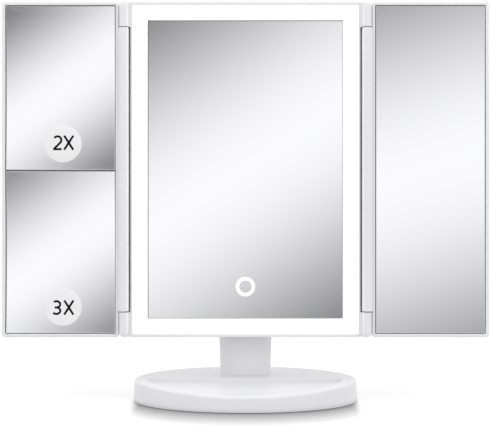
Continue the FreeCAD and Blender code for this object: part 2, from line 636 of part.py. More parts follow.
def contact_spring(x, way):
    """Tapered spring at the flat end of a cell, as three rings that narrow towards it."""
    y = depth(CELL_DEPTH)
    start = BAY_HALF_Z - 1.7 - 0.4
    rings = []
    for i in range(4):
        at = Vector(x, y, BAY_MID_Z - way * (start - 0.45 - i * 0.75))
        rings.append(Part.makeTorus(3.4 - 0.4 * i, 0.45, at, Vector(0, 0, 1)))
    return joined(*rings)


def battery_cover():
    """Lift-off door flush in the back, with a thumb recess and two tongues."""
    width, height = 2 * BAY_HALF_X - 0.7, 2 * BAY_HALF_Z - 0.7
    door = slab(width, height, WALL_FRONT + 0.2, HEAD_DEPTH, 1.8, z=BAY_MID_Z)
    for i in range(3):
        z = BAY_MID_Z + BAY_HALF_Z - 7 - 2.2 * i
        door = door.cut(slab(14.0, 0.9, HEAD_DEPTH - 0.6, HEAD_DEPTH + 1, z=z))
    return door


def tube_along(points, radius, bend):
    """An insulated lead along straight runs joined by arcs of one bend radius."""
    spots = [Vector(*p) for p in points]
    edges = []
    last = spots[0]
    for before, corner, after in zip(spots, spots[1:], spots[2:]):
        u, v = (before - corner).normalize(), (after - corner).normalize()
        half_turn = math.acos(max(-1.0, min(1.0, u.dot(v)))) / 2
        reach = bend / math.tan(half_turn)
        a, b = corner + u * reach, corner + v * reach
        middle = (u + v).normalize()
        apex = corner + middle * (bend / math.sin(half_turn) - bend)
        edges.append(Part.LineSegment(last, a).toShape())
        edges.append(Part.Arc(a, apex, b).toShape())
        last = b
    edges.append(Part.LineSegment(last, spots[-1]).toShape())
    path = Part.Wire(edges)
    ring = Part.Wire([Part.Circle(spots[0], spots[1] - spots[0], radius).toShape()])
    return path.makePipeShell([ring], True, True)


def leads():
    """Leads from the driver board to the battery box, the touch board and the LED strips."""
    d = depth(15.0)
    top = 78.2
    bay = BAY_MID_Z - BAY_HALF_Z + 0.4
    runs = [
        [(8, d, top), (8, d, 110), (14, d, 120), (14, d, bay)],
        [(12, d, top), (12, d, 104), (18, d, 114), (18, d, bay)],
        [(-6, d, top), (-6, d, 92), (-12, d, 100), (-12, d, 108)],
        [(-34, d, top), (-34, d, 100), (-60, d, 112), (-60, d, 150)],
        [(40, d, top), (40, d, 100), (60, d, 112), (60, d, 150)],
    ]
    return [tube_along(points, 0.6, 4.0) for points in runs]


# --- Side panels (made on the right, mirrored for the left) ---
def wing_frame():
    """Moulded tray for the glass, with the long hinge barrel on its inner edge."""
    floor_back = WING_DEPTH - WING_BACK
    tray = slab(WING_WIDTH, HEAD_HEIGHT, 0, floor_back, 2.0, x=WING_MID_X)
    tray = soften(tray, 0.5, lies_at_y(depth(0)))
    pocket_w, pocket_h = WING_WIDTH - 2 * WING_RIM, HEAD_HEIGHT - 2 * WING_RIM
    pocket = slab(pocket_w, pocket_h, -1, WING_FLOOR, 0.8, x=WING_MID_X)
    z0, z1 = HEAD_BOTTOM + CAP_HEIGHT + CAP_GAP, HEAD_TOP - CAP_HEIGHT - CAP_GAP
    barrel = rod(BARREL_RADIUS, (HINGE_X, HINGE_Y, z0), (HINGE_X, HINGE_Y, z1))
    web = block(HINGE_X, WING_INNER_X + 1, depth(0), depth(5.0), z0, z1)
    frame = joined(tray.cut(pocket), barrel, web)
    starts = (z0 - 1, z1 - HINGE_BUSH_LENGTH)
    deep = HINGE_BUSH_LENGTH + 1
    bores = [rod(HINGE_BUSH_R, (HINGE_X, HINGE_Y, z), (HINGE_X, HINGE_Y, z + deep)) for z in starts]
    pegs = [rod(1.6, (x, depth(5), z), (x, depth(8), z)) for x, z in wing_pegs()]
    return without(frame, *bores, *pegs)


def wing_pegs():
    """Where the back cover's pegs pass into the frame."""
    return [(WING_MID_X + sx * 30, HEAD_MID + sz * 100) for sx in (-1, 1) for sz in (-1, 0, 1)]


def wing_back():
    """Back cover of a side panel, held by six pegs."""
    floor_back = WING_DEPTH - WING_BACK
    cover = slab(WING_WIDTH, HEAD_HEIGHT, floor_back, WING_DEPTH, 2.0, x=WING_MID_X)
    cover = soften(cover, 1.4, lies_at_y(depth(WING_DEPTH)))
    peg_y = depth(floor_back - 1.0), depth(floor_back + 0.5)
    pegs = [rod(1.5, (x, peg_y[0], z), (x, peg_y[1], z)) for x, z in wing_pegs()]
    return joined(cover, *pegs)


def hinge_bushes():
    """Nylon bushes in the two ends of a side panel's barrel, which run on the pins."""
    low = HEAD_BOTTOM + CAP_HEIGHT + CAP_GAP
    high = HEAD_TOP - CAP_HEIGHT - CAP_GAP - HINGE_BUSH_LENGTH
    bushes = []
    for z in (low, high):
        ends = (HINGE_X, HINGE_Y, z), (HINGE_X, HINGE_Y, z + HINGE_BUSH_LENGTH)
        bushes.append(pipe(HINGE_BUSH_R, PIN_R + RUNNING_FIT, *ends))
    return bushes


def hinge_pins():
    """Steel pins fixed in the caps and standing into the barrel."""
    low = HEAD_BOTTOM + CAP_HEIGHT
    high = HEAD_TOP - CAP_HEIGHT
    return [
        rod(PIN_R, (HINGE_X, HINGE_Y, low - PIN_IN_CAP), (HINGE_X, HINGE_Y, low + PIN_IN_BARREL)),
        rod(PIN_R, (HINGE_X, HINGE_Y, high - PIN_IN_BARREL), (HINGE_X, HINGE_Y, high + PIN_IN_CAP)),
    ]


def pane_box():
    """Width, lower edge and upper edge of the glass in a side panel."""
    inset = WING_RIM + GLASS_GAP
    return WING_WIDTH - 2 * inset, HEAD_BOTTOM + inset, HEAD_TOP - inset


def flat_pane():
    """The plain pane of the right side panel."""
    width, low, high = pane_box()
    return slab(width, high - low, GLASS_SET, GLASS_SET + GLASS_THICK, x=WING_MID_X, z=(low + high) / 2)


def pane_span(upper):
    """Lower and upper edge of one magnifying pane."""
    _, low, high = pane_box()
    split = HEAD_MID - PANE_SPLIT_DROP
    if upper:
        return split + PANE_GAP / 2, high
    return low, split - PANE_GAP / 2


def hollow_ball(upper, extra):
    """The sphere that a magnifying pane's front lies on, grown by some extra radius."""
    width = pane_box()[0]
    low, high = pane_span(upper)
    radius = RADIUS_2X if upper else RADIUS_3X
    sag = radius - math.sqrt(radius**2 - (width / 2) ** 2 - ((high - low) / 2) ** 2)
    centre = Vector(-WING_MID_X, depth(GLASS_SET) + sag - radius, (low + high) / 2)
    return Part.makeSphere(radius + extra, centre)


def magnifying_pane(upper):
    """Bent glass pane, its hollow side to the front."""
    width = pane_box()[0]
    low, high = pane_span(upper)
    blank = slab(width, high - low, 0, WING_FLOOR, x=-WING_MID_X, z=(low + high) / 2)
    return blank.common(hollow_ball(upper, GLASS_THICK)).cut(hollow_ball(upper, 0.0))


def magnifying_pads(upper):
    """Foam pads that fill between a bent pane and its frame."""
    low, high = pane_span(upper)
    middle = (low + high) / 2
    ball = hollow_ball(upper, GLASS_THICK)
    pads = []
    for sx in (-1, 1):
        for sz in (-1, 1):
            x, z = -WING_MID_X + sx * 24, middle + sz * 36
            pads.append(slab(14, 20, 0, WING_FLOOR, x=x, z=z).cut(ball))
    return pads


def flat_pads():
    """Foam pads behind the plain pane."""
    glass_back = GLASS_SET + GLASS_THICK
    pads = []
    for sx in (-1, 1):
        for sz in (-1, 0, 1):
            x, z = WING_MID_X + sx * 22, HEAD_MID + sz * 80
            pads.append(slab(14, 24, glass_back, WING_FLOOR, x=x, z=z))
    return pads


def label(upper):
    """Round frosted sticker on a magnifying pane."""
    z = pane_span(upper)[0] + LABEL_RISE
    disc = rod(LABEL_R, (LABEL_X, FRONT_Y - 2, z), (LABEL_X, depth(WING_FLOOR), z))
    return disc.common(hollow_ball(upper, 0.0)).cut(hollow_ball(upper, -LABEL_THICK))


# --- The whole object ---
os.makedirs("parts", exist_ok=True)

foot_form = base_outside()
save("base_top_shell", base_top_shell(foot_form, spine_slot(0.6, 5, 25)))
save("base_bottom_plate", base_bottom_plate())
save("base_weight", base_weight())
save("rubber_feet", *[rod(FOOT_R, (x, y, 0), (x, y, FOOT_PROUD + 0.9)) for x, y in FEET])
save("base_screws", *[screw((x, y, 2.2 - SCREW_HEAD), (x, y, 10.0)) for x, y in BASE_SCREWS])

neck_front, neck_rear = neck_shells(foot_form)
save("neck_front_shell", neck_front)
save("neck_rear_shell", neck_rear)
save("neck_spine", neck_spine())
save("spine_screws", *[screw((x, y, 12.5), (x, y, 4.5)) for x, y in SPINE_SCREWS])
save("neck_foot_screws", *[screw((x, y, 12.0), (x, y, 26.5)) for x, y in NECK_SCREWS])
save("neck_shell_screws", *[screw((0, 25.3, z), (0, 13.0, z)) for z in NECK_SHELL_SCREWS_Z])

save("tilt_axle", tilt_axle())
save("tilt_nut", tilt_nut())
save("tilt_bushes", tilt_bush(), mirrored(tilt_bush()))
save("tilt_washers", tilt_washer(), mirrored(tilt_washer()))
save("tilt_covers", tilt_cover(), mirrored(tilt_cover()))

save("centre_rim", centre_rim())
save("light_diffuser", light_diffuser())
save("centre_mirror", centre_mirror())
save("mirror_carrier", mirror_carrier())
save("mirror_tape", *mirror_tape())
for strip_side in ("top", "bottom", "left", "right"):
    save("led_board_" + strip_side, led_board(strip_side))
save("led_chips", *led_chips())
save("touch_ring_guide", touch_ring_guide())
save("touch_board", touch_board())
save("control_board", control_board())
small = {"shank": 0.85, "head": 1.9, "head_thick": 1.1}
board_ties = [screw((x, depth(11.8), z), (x, depth(17.5), z), **small) for x, z in BOARD_SCREWS]
save("board_screws", *board_ties)
save("usb_socket", usb_socket())
save("switch_body", switch_body())
save("switch_knob", switch_knob())
save("internal_leads", *leads())
save("rear_housing", rear_housing())
rear_screws = [screw((x, depth(HEAD_DEPTH + 0.3), z), (x, depth(13.4), z)) for x, z in HEAD_SCREWS]
save("housing_screws", *rear_screws)

save("battery_tray", battery_tray())
save("battery_plates", *contact_plates())
save("battery_springs", *[contact_spring(x, way) for x, way in cell_places()])
save("batteries", *[cell(x, way) for x, way in cell_places()])
save("battery_cover", battery_cover())

save("right_wing_frame", wing_frame())
save("right_wing_back", wing_back())
save("right_mirror", flat_pane())
save("right_glass_pads", *flat_pads())
save("right_hinge_bushes", *hinge_bushes())
save("right_hinge_pins", *hinge_pins())
save("left_wing_frame", mirrored(wing_frame()))
save("left_wing_back", mirrored(wing_back()))
save("left_mirror_upper", magnifying_pane(True))
save("left_mirror_lower", magnifying_pane(False))
save("left_glass_pads", *magnifying_pads(True), *magnifying_pads(False))
save("left_label_upper", label(True))
save("left_label_lower", label(False))
save("left_hinge_bushes", *[mirrored(bush) for bush in hinge_bushes()])
save("left_hinge_pins", *[mirrored(pin) for pin in hinge_pins()])
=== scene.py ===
import math

import bmesh
import bpy
import numpy as np
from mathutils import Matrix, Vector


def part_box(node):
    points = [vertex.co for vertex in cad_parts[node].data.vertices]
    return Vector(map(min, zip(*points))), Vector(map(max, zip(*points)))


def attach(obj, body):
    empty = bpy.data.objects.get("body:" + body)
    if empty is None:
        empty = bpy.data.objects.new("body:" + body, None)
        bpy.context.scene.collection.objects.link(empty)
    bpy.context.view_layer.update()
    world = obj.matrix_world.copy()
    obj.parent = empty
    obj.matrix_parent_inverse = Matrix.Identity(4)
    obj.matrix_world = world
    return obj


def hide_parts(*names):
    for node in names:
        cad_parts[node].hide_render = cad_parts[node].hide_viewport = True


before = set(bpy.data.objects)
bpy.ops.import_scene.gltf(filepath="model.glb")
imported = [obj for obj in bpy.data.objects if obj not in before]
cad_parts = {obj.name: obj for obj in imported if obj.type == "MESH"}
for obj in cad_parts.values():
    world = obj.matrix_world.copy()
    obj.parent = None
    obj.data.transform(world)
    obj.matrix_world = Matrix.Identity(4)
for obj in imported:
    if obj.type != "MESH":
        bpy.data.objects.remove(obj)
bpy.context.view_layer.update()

# --- Studio -------------------------------------------------------------------------------------
# A white table top in a white room. Wide soft grey-and-white panels stand in front of the mirror,
# one for each way that a pane looks, and they are what its glass shows. Their borders fall on the
# panes' edges only from studio_camera's own place: from anywhere else they cut across the glass.
scene = bpy.context.scene
scene.view_settings.view_transform = "Standard"

CAMERA_PLACE = (-0.0003, -0.875, 0.1346)
LENS_MM = 89.2
lens = bpy.data.cameras.new("studio_camera")
lens.sensor_width = 36.0
lens.lens = LENS_MM
camera = bpy.data.objects.new("studio_camera", lens)
camera.location = CAMERA_PLACE
camera.rotation_euler = (math.pi / 2, 0.0, 0.0)
scene.collection.objects.link(camera)
scene.camera = camera


def linear(code):
    """An sRGB hex colour as linear red, green, blue and a full alpha."""
    shares = [int(code[i : i + 2], 16) / 255 for i in (0, 2, 4)]
    return tuple(c / 12.92 if c <= 0.04045 else ((c + 0.055) / 1.055) ** 2.4 for c in shares) + (1.0,)


def add(tree, kind, inputs=None, **settings):
    """Adds a shader node: its settings first, then its sockets, each a value or another's output."""
    made = tree.nodes.new("ShaderNode" + kind)
    for name, value in settings.items():
        setattr(made, name, value)
    for socket, value in (inputs or {}).items():
        if isinstance(value, bpy.types.NodeSocket):
            tree.links.new(value, made.inputs[socket])
        else:
            made.inputs[socket].default_value = value
    return made


# A band is a cosine of grey and white across the slopes at which a pane sends its rays: the way it
# leans, its waves for each unit of slope, and the slope at the middle of its white. A hollow pane
# turns the picture over and spreads it, about the slope at its own middle. Every number here is
# set for what studio_camera sees in that pane, and holds for no other place.
BANDS = {
    "centre": {"lean": 122, "waves": 11.08, "white": 0.0320, "middle": (0.0, 0.0), "spread": 1.0},
    "right": {"lean": 108, "waves": 9.51, "white": -0.0121, "middle": (0.0, 0.0), "spread": 1.0},
    "upper": {"lean": 124, "waves": 20.75, "white": 0.1699, "middle": (-0.1525, 0.1036), "spread": -1.389},
    "lower": {"lean": 124, "waves": 19.98, "white": 0.0586, "middle": (-0.1525, -0.0320), "spread": -0.773},
}
SIDE_SLOPE = 0.0865  # past this slope to either side, a side panel looks out, from studio_camera
SPLIT_SLOPE = 0.0545  # and past this slope upwards, the upper magnifying pane
BAND_MIDDLE, BAND_SWING = 0.571, 0.414  # of full white, as the eye reads it
DARKEST = 0.44  # the greys level out here
PANELS_END = (-0.971, -0.93)  # how far a ray runs to the back where the panels begin to fade and end
LEAST_AHEAD = 0.2  # keeps the slopes finite to the sides
BEHIND = (-0.1, 0.3)  # the same, where the room behind the mirror begins and is whole
ROOM_LOW, ROOM_RISE, ROOM_BEHIND = 0.78, 0.14, 0.93
SOFT_LEVEL, SOFT_RISE = 0.73, 0.40
EYE_GAMMA = 2.2
GLASS_RETURN = 0.93  # share of the light that the silvered glass sends back

world = bpy.data.worlds.new("studio_room")
world.use_nodes = True
scene.world = world
tree = world.node_tree
tree.nodes.clear()
way = add(tree, "SeparateXYZ", {0: add(tree, "TexCoord").outputs["Generated"]}).outputs
frontward = add(tree, "Math", {0: way[1], 1: -1.0}, operation="MULTIPLY").outputs[0]
ahead = add(tree, "Math", {0: frontward, 1: LEAST_AHEAD}, operation="MAXIMUM").outputs[0]
slope_x = add(tree, "Math", {0: way[0], 1: ahead}, operation="DIVIDE").outputs[0]
slope_z = add(tree, "Math", {0: way[2], 1: ahead}, operation="DIVIDE").outputs[0]
slopes = add(tree, "CombineXYZ", {0: slope_x, 1: slope_z, 2: 1.0}).outputs[0]
phases = {}
for name, band in BANDS.items():
    lean = math.radians(band["lean"])
    across = np.array([math.cos(lean), math.sin(lean)])
    gain = band["waves"] * band["spread"] * across
    start = band["waves"] * ((1 - band["spread"]) * float(across @ band["middle"]) - band["white"])
    phases[name] = add(tree, "VectorMath", {0: slopes, 1: (gain[0], gain[1], start)},
                       operation="DOT_PRODUCT").outputs["Value"]
is_upper = add(tree, "Math", {0: slope_z, 1: SPLIT_SLOPE}, operation="GREATER_THAN").outputs[0]
is_left = add(tree, "Math", {0: slope_x, 1: -SIDE_SLOPE}, operation="LESS_THAN").outputs[0]
is_right = add(tree, "Math", {0: slope_x, 1: SIDE_SLOPE}, operation="GREATER_THAN").outputs[0]
left_phase = add(tree, "Mix", {0: is_upper, 2: phases["lower"], 3: phases["upper"]}).outputs[0]
phase = add(tree, "Mix", {0: is_left, 2: phases["centre"], 3: left_phase}).outputs[0]
phase = add(tree, "Mix", {0: is_right, 2: phase, 3: phases["right"]}).outputs[0]
wave = add(tree, "Math", {0: phase}, operation="COSINE").outputs[0]
tone = add(tree, "Math", {0: wave, 1: BAND_SWING, 2: BAND_MIDDLE}, operation="MULTIPLY_ADD").outputs[0]
tone = add(tree, "Math", {0: tone, 1: DARKEST, 2: 0.1}, operation="SMOOTH_MAX").outputs[0]
panel = add(tree, "Math", {0: tone, 1: EYE_GAMMA}, operation="POWER").outputs[0]
panel = add(tree, "Math", {0: panel, 1: 1 / GLASS_RETURN}, operation="MULTIPLY").outputs[0]
# Past the panels the room is a plain pale grey, a little lighter towards the ceiling, and nearly
# white behind the mirror.
room = add(tree, "Math", {0: way[2], 1: ROOM_RISE, 2: ROOM_LOW}, operation="MULTIPLY_ADD").outputs[0]
behind = add(tree, "MapRange", {0: way[1], 1: BEHIND[0], 2: BEHIND[1]},
             interpolation_type="SMOOTHSTEP").outputs[0]
room = add(tree, "Mix", {0: behind, 2: room, 3: ROOM_BEHIND}).outputs[0]
past = add(tree, "MapRange", {0: way[1], 1: PANELS_END[0], 2: PANELS_END[1]},
           interpolation_type="SMOOTHSTEP").outputs[0]
shown = add(tree, "Mix", {0: past, 2: panel, 3: room}).outputs[0]
# The light that falls on things: stronger from overhead than from low in the room.
soft = add(tree, "Math", {0: way[2], 1: SOFT_RISE, 2: SOFT_LEVEL}, operation="MULTIPLY_ADD").outputs[0]
light_path = add(tree, "LightPath").outputs
straight = add(tree, "Math", {0: light_path["Is Camera Ray"], 1: light_path["Is Transmission Ray"]},
               operation="MAXIMUM").outputs[0]
level = add(tree, "Mix", {0: light_path["Is Glossy Ray"], 2: soft, 3: shown}).outputs[0]
level = add(tree, "Mix", {0: straight, 2: level, 3: 1.0}).outputs[0]
sky = add(tree, "Background", {"Color": linear("FFFFFF"), "Strength": level})
add(tree, "OutputWorld", {"Surface": sky.outputs[0]})

# Soft boxes: one close over the front, and one low at each side, the right one a little stronger.
LAMPS = {
    "overhead_softbox": {"place": (0.0, -0.30, 0.80), "size": 0.6, "watts": 0.9},
    "left_softbox": {"place": (-1.25, -0.75, 0.25), "size": 0.8, "watts": 3.0},
    "right_softbox": {"place": (1.25, -0.75, 0.25), "size": 0.8, "watts": 3.8},
}
AIM = np.array([0.0, 0.0, 0.1])
for name, facts in LAMPS.items():
    lamp = bpy.data.lights.new(name, "AREA")
    lamp.shape = "DISK"
    lamp.size = facts["size"]
    lamp.energy = facts["watts"]
    holder = bpy.data.objects.new(name, lamp)
    holder.location = facts["place"]
    toward = AIM - np.array(facts["place"])
    pan = math.atan2(toward[1], toward[0]) - math.pi / 2
    tip = math.acos(-toward[2] / np.linalg.norm(toward))
    holder.rotation_euler = (tip, 0.0, pan)
    holder.visible_camera = False
    holder.visible_glossy = False
    scene.collection.objects.link(holder)

MM = 0.001


def skin(rings, wrap=False, caps=False, paint=None):
    """A skin over a stack of closed rings of points: each point joins the next in its ring and the
    one above it. Wrap joins the last ring to the first, caps close the two ends with flat faces,
    and paint gives the material of each step. A ring shrunk to a point makes a pole."""
    rings = np.asarray(rings, float)
    count, size = rings.shape[:2]
    step = np.arange(count if wrap else count - 1)[:, None]
    here, beside = step * size + np.arange(size), step * size + (np.arange(size) + 1) % size
    lift = np.where(step + 1 == count, -step, 1) * size
    quads = np.stack([here, beside, beside + lift, here + lift], axis=-1).reshape(-1, 4)
    faces = quads.tolist()
    marks = np.repeat(np.zeros(len(step), int) if paint is None else np.array(paint), size).tolist()
    if caps:
        faces += [list(range(size)), list(range((count - 1) * size, count * size))]
        marks += [0, 0]
    return rings.reshape(-1, 3), faces, marks


def piece(name, materials, *skins, crease=35.0):
    """One object from closed skins in millimetres: doubles merged, faces outward, smooth to the crease."""
    points, faces, marks = [], [], []
    for spots, quads, paints in skins:
        offset = sum(len(p) for p in points)
        points.append(spots)
        faces += [[i + offset for i in quad] for quad in quads]
        marks += paints
    mesh = bpy.data.meshes.new(name)
    mesh.from_pydata(np.concatenate(points) * MM, [], faces)
    mesh.polygons.foreach_set("material_index", marks)
    for material in materials:
        mesh.materials.append(material)
    form = bmesh.new()
    form.from_mesh(mesh)
    bmesh.ops.remove_doubles(form, verts=form.verts, dist=0.002 * MM)
    bmesh.ops.dissolve_degenerate(form, edges=form.edges, dist=0.001 * MM)
    bmesh.ops.recalc_face_normals(form, faces=form.faces)
    form.to_mesh(mesh)
    form.free()
    mesh.shade_smooth()
    mesh.set_sharp_from_angle(angle=math.radians(crease))
    made = bpy.data.objects.new(name, mesh)
    scene.collection.objects.link(made)
    return made


# The table: a matt laminate. For the eye it is lifted to white, and a painted shadow lies on it in front
# of the foot, the shadow that a room lighter at the back would cast: strongest along the foot's front
# edge, it fades evenly towards the front and ends at the foot's sides.
FLOOR_RADIUS = 420.0
FLOOR_GLOW = 0.22
PAINTED_SHADOW_DEPTH = 0.66  # share of the light that it takes at the edge
PAINTED_SHADOW_REACH = 58.0
PAINTED_SHADOW_TUCK = 8.0  # how far it runs on under the foot
PAINTED_SHADOW_SIDES = (1.04, 0.88)  # it fades in between these, as the square of the share of the foot's half width
foot_half_x, foot_half_y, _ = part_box("base_top_shell")[1]
around = np.linspace(0, 2 * math.pi, 96, endpoint=False)
circle = np.stack([np.cos(around), np.sin(around), np.zeros_like(around)], axis=1)
discs = [FLOOR_RADIUS * share * circle for share in (0.0, 0.25, 0.5, 0.75, 1.0)]
laminate = bpy.data.materials.new("matt_white_laminate_painted_shadow")
laminate.use_nodes = True
tree = laminate.node_tree
tree.nodes.clear()
light_path = add(tree, "LightPath").outputs
direct = add(tree, "Math", {0: light_path["Is Camera Ray"], 1: light_path["Is Transmission Ray"]},
             operation="MAXIMUM").outputs[0]
direct = add(tree, "Math", {0: direct, 1: light_path["Is Glossy Ray"]}, operation="MAXIMUM").outputs[0]
# Painted shadow: a mask in front of the foot's outline, from how far a point lies past its front edge and how
# near it is to the foot's sides.
spot = add(tree, "SeparateXYZ", {0: add(tree, "TexCoord").outputs["Object"]}).outputs
across = add(tree, "Math", {0: spot[0], 1: foot_half_x}, operation="DIVIDE").outputs[0]
squared = add(tree, "Math", {0: across, 1: across}, operation="MULTIPLY").outputs[0]
rest = add(tree, "Math", {0: 1.0, 1: squared}, operation="SUBTRACT").outputs[0]
rest = add(tree, "Math", {0: rest, 1: 0.0}, operation="MAXIMUM").outputs[0]
edge = add(tree, "Math", {0: rest}, operation="SQRT").outputs[0]
past_edge = add(tree, "Math", {0: edge, 1: foot_half_y, 2: spot[1]}, operation="MULTIPLY_ADD").outputs[0]
ahead_fade = add(tree, "MapRange", {0: past_edge, 1: -PAINTED_SHADOW_REACH * MM, 2: 0.0}).outputs[0]
tuck_fade = add(tree, "MapRange", {0: past_edge, 1: PAINTED_SHADOW_TUCK * MM, 2: 0.0}).outputs[0]
side_fade = add(tree, "MapRange", {0: squared, 1: PAINTED_SHADOW_SIDES[0], 2: PAINTED_SHADOW_SIDES[1]}).outputs[0]
painted_shadow_share = add(tree, "Math", {0: ahead_fade, 1: tuck_fade}, operation="MULTIPLY").outputs[0]
painted_shadow_share = add(tree, "Math", {0: painted_shadow_share, 1: side_fade}, operation="MULTIPLY").outputs[0]
# The painted shadow darkens both the laminate's colour and its glow by this share.
painted_shadow = add(tree, "Math", {0: painted_shadow_share, 1: -PAINTED_SHADOW_DEPTH, 2: 1.0}, operation="MULTIPLY_ADD").outputs[0]
lit = add(tree, "Mix", {0: painted_shadow, 6: linear("000000"), 7: linear("EBEBEB")}, data_type="RGBA").outputs[2]
tone = add(tree, "Mix", {0: direct, 6: linear("BEBEBF"), 7: lit}, data_type="RGBA").outputs[2]
glow = add(tree, "Math", {0: direct, 1: FLOOR_GLOW}, operation="MULTIPLY").outputs[0]
glow = add(tree, "Math", {0: glow, 1: painted_shadow}, operation="MULTIPLY").outputs[0]
matt = add(tree, "BsdfDiffuse", {"Color": tone})
shine = add(tree, "Emission", {"Color": linear("FFFFFF"), "Strength": glow})
both = add(tree, "AddShader", {0: matt.outputs[0], 1: shine.outputs[0]})
add(tree, "OutputMaterial", {"Surface": both.outputs[0]})
piece("table_top", [laminate], skin(discs))


# --- Foot ---------------------------------------------------------------------------------------
# A weighted oval foot: a moulded ABS top with a shallow tray, closed below by a flat plate that
# holds a steel weight and stands on four rubber pads.
def corners(node):
    """Lowest and highest corner of a CAD node, in millimetres."""
    low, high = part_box(node)
    return np.array(low) / MM, np.array(high) / MM


def dress(material, *nodes):
    """Gives CAD nodes their finish."""
    for name in nodes:
        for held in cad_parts[name].material_slots:
            held.material = material


def place(made, body, slot, *nodes):
    """The piece moves with its body and stands for the nodes. The slot is not used."""
    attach(made, body)
    if nodes:
        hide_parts(*nodes)
    return made


DRIFT_MM = 36.0


def moulded(name, light, dark, roughness, grain_mm=0.35, relief_mm=0.006, ior=1.53):
    """A moulded polymer. Two close tones drift over DRIFT_MM, as the melt does; a fine grain from the
    spark-eroded tool breaks up the shine and stands in slight relief."""
    made = bpy.data.materials.new(name)
    made.use_nodes = True
    tree = made.node_tree
    tree.nodes.clear()
    spot = add(tree, "TexCoord").outputs["Object"]
    drift = add(tree, "TexNoise", {"Vector": spot, "Scale": 1 / (DRIFT_MM * MM), "Detail": 2.0}).outputs[0]
    grain = add(tree, "TexNoise", {"Vector": spot, "Scale": 1 / (grain_mm * MM), "Detail": 2.0}).outputs[0]
    colour = add(tree, "Mix", {0: drift, 6: linear(light), 7: linear(dark)}, data_type="RGBA").outputs[2]
    dull = add(tree, "MapRange", {0: grain, 3: roughness - 0.05, 4: roughness + 0.07}).outputs[0]
    relief = add(tree, "Bump", {"Height": grain, "Distance": relief_mm * MM, "Strength": 0.6}).outputs[0]
    shader = add(tree, "BsdfPrincipled",
                 {"Base Color": colour, "Roughness": dull, "Normal": relief, "IOR": ior})
    add(tree, "OutputMaterial", {"Surface": shader.outputs[0]})
    return made


# ABS moulded in a lightly etched tool: a cool off-white with a broad soft shine.
white_abs = moulded("white_abs_moulded", "EAEAEC", "E6E6E8", 0.34)

foot_low, foot_high = corners("base_top_shell")
FOOT_UNDER = foot_low[2]
FOOT_HALF_X = foot_high[0]  # at its lower edge
FOOT_SQUEEZE = foot_high[1] / foot_high[0]
WALL_LEAN = 0.043  # how far the wall leans in for each millimetre of height
WALL_THICK = 2.2
SHOULDER = 1.9
EDGE_EASE = 0.3
TOP_HEIGHT, TOP_SLOPE = 16.0, 0.018  # at the origin, and its rise to the back
DIP_START_Y, DIP_RADIUS = -20.0, 216.0
TRAY_HALF_X, TRAY_HALF_Y = 70.5, 55.8
TRAY_DEPTH, TRAY_CORNER, TRAY_FILLET, TRAY_LIP = 2.4, 6.0, 1.3, 0.4
SPOKE_Y = -25.0  # the point that the grid's spokes run from
SPOKES = 480

spoke = np.linspace(0, 2 * math.pi, SPOKES, endpoint=False)
spoke_x, spoke_y = np.cos(spoke), np.sin(spoke)


def roof(y):
    """Height of the foot's top at a depth: a gentle slope, then an arc that leaves it for the front."""
    lean = math.atan(TOP_SLOPE)
    middle_y = DIP_START_Y + DIP_RADIUS * math.sin(lean)
    middle_z = TOP_HEIGHT + TOP_SLOPE * DIP_START_Y - DIP_RADIUS * math.cos(lean)
    arc = middle_z + np.sqrt(DIP_RADIUS**2 - (y - middle_y) ** 2)
    return np.where(y < DIP_START_Y, arc, TOP_HEIGHT + TOP_SLOPE * y)


def reach_oval(half_x, half_y):
    """How far each spoke runs to an oval about the origin: the larger root of its quadratic."""
    a = (spoke_x / half_x) ** 2 + (spoke_y / half_y) ** 2
    b = 2 * SPOKE_Y * spoke_y / half_y**2
    c = (SPOKE_Y / half_y) ** 2 - 1
    return (-b + np.sqrt(b * b - 4 * a * c)) / (2 * a)


def reach_wall(height, inset):
    """How far each spoke runs to the foot's leaning wall at a height, moved in by an inset."""
    half_x = FOOT_HALF_X - WALL_LEAN * (height - FOOT_UNDER) - inset
    return reach_oval(half_x, half_x * FOOT_SQUEEZE)


def reach_tray(inset):
    """How far each spoke runs to the tray's edge moved in: an oval cut by a line across the foot, the
    two corners rounded by circles."""
    oval = reach_oval(TRAY_HALF_X - inset, TRAY_HALF_Y - inset)
    with np.errstate(divide="ignore", invalid="ignore"):
        line = np.where(spoke_y > 0, (-inset - SPOKE_Y) / spoke_y, np.inf)
        on_line = np.abs(line * spoke_x) < TRAY_HALF_X - TRAY_CORNER
    side = np.sign(spoke_x) * (TRAY_HALF_X - TRAY_CORNER)
    rise = -TRAY_CORNER - SPOKE_Y
    along = side * spoke_x + rise * spoke_y
    beside = side**2 + rise**2 - along**2
    room = (TRAY_CORNER - inset) ** 2 - beside
    corner = np.where(room > 0, along + np.sqrt(np.maximum(room, 0)), np.inf)
    return np.minimum(oval, np.where(on_line, line, corner))


def on_roof(reach, drop):
    """A ring that keeps a drop below the foot's top."""
    y = SPOKE_Y + reach * spoke_y
    return np.stack([reach * spoke_x, y, roof(y) - drop], axis=1)


def on_edge(inset, drop):
    """A ring along the foot's upper edge: moved in from its wall, and a drop below its top."""
    height = roof(SPOKE_Y + reach_wall(FOOT_UNDER, inset) * spoke_y) - drop
    return on_roof(reach_wall(height, inset), drop)


def on_base(inset, rise):
    """A ring along the foot's lower edge: moved in from its wall, and a rise above its underside."""
    reach = reach_wall(FOOT_UNDER + rise, inset)
    height = np.full_like(reach, FOOT_UNDER + rise)
    return np.stack([reach * spoke_x, SPOKE_Y + reach * spoke_y, height], axis=1)


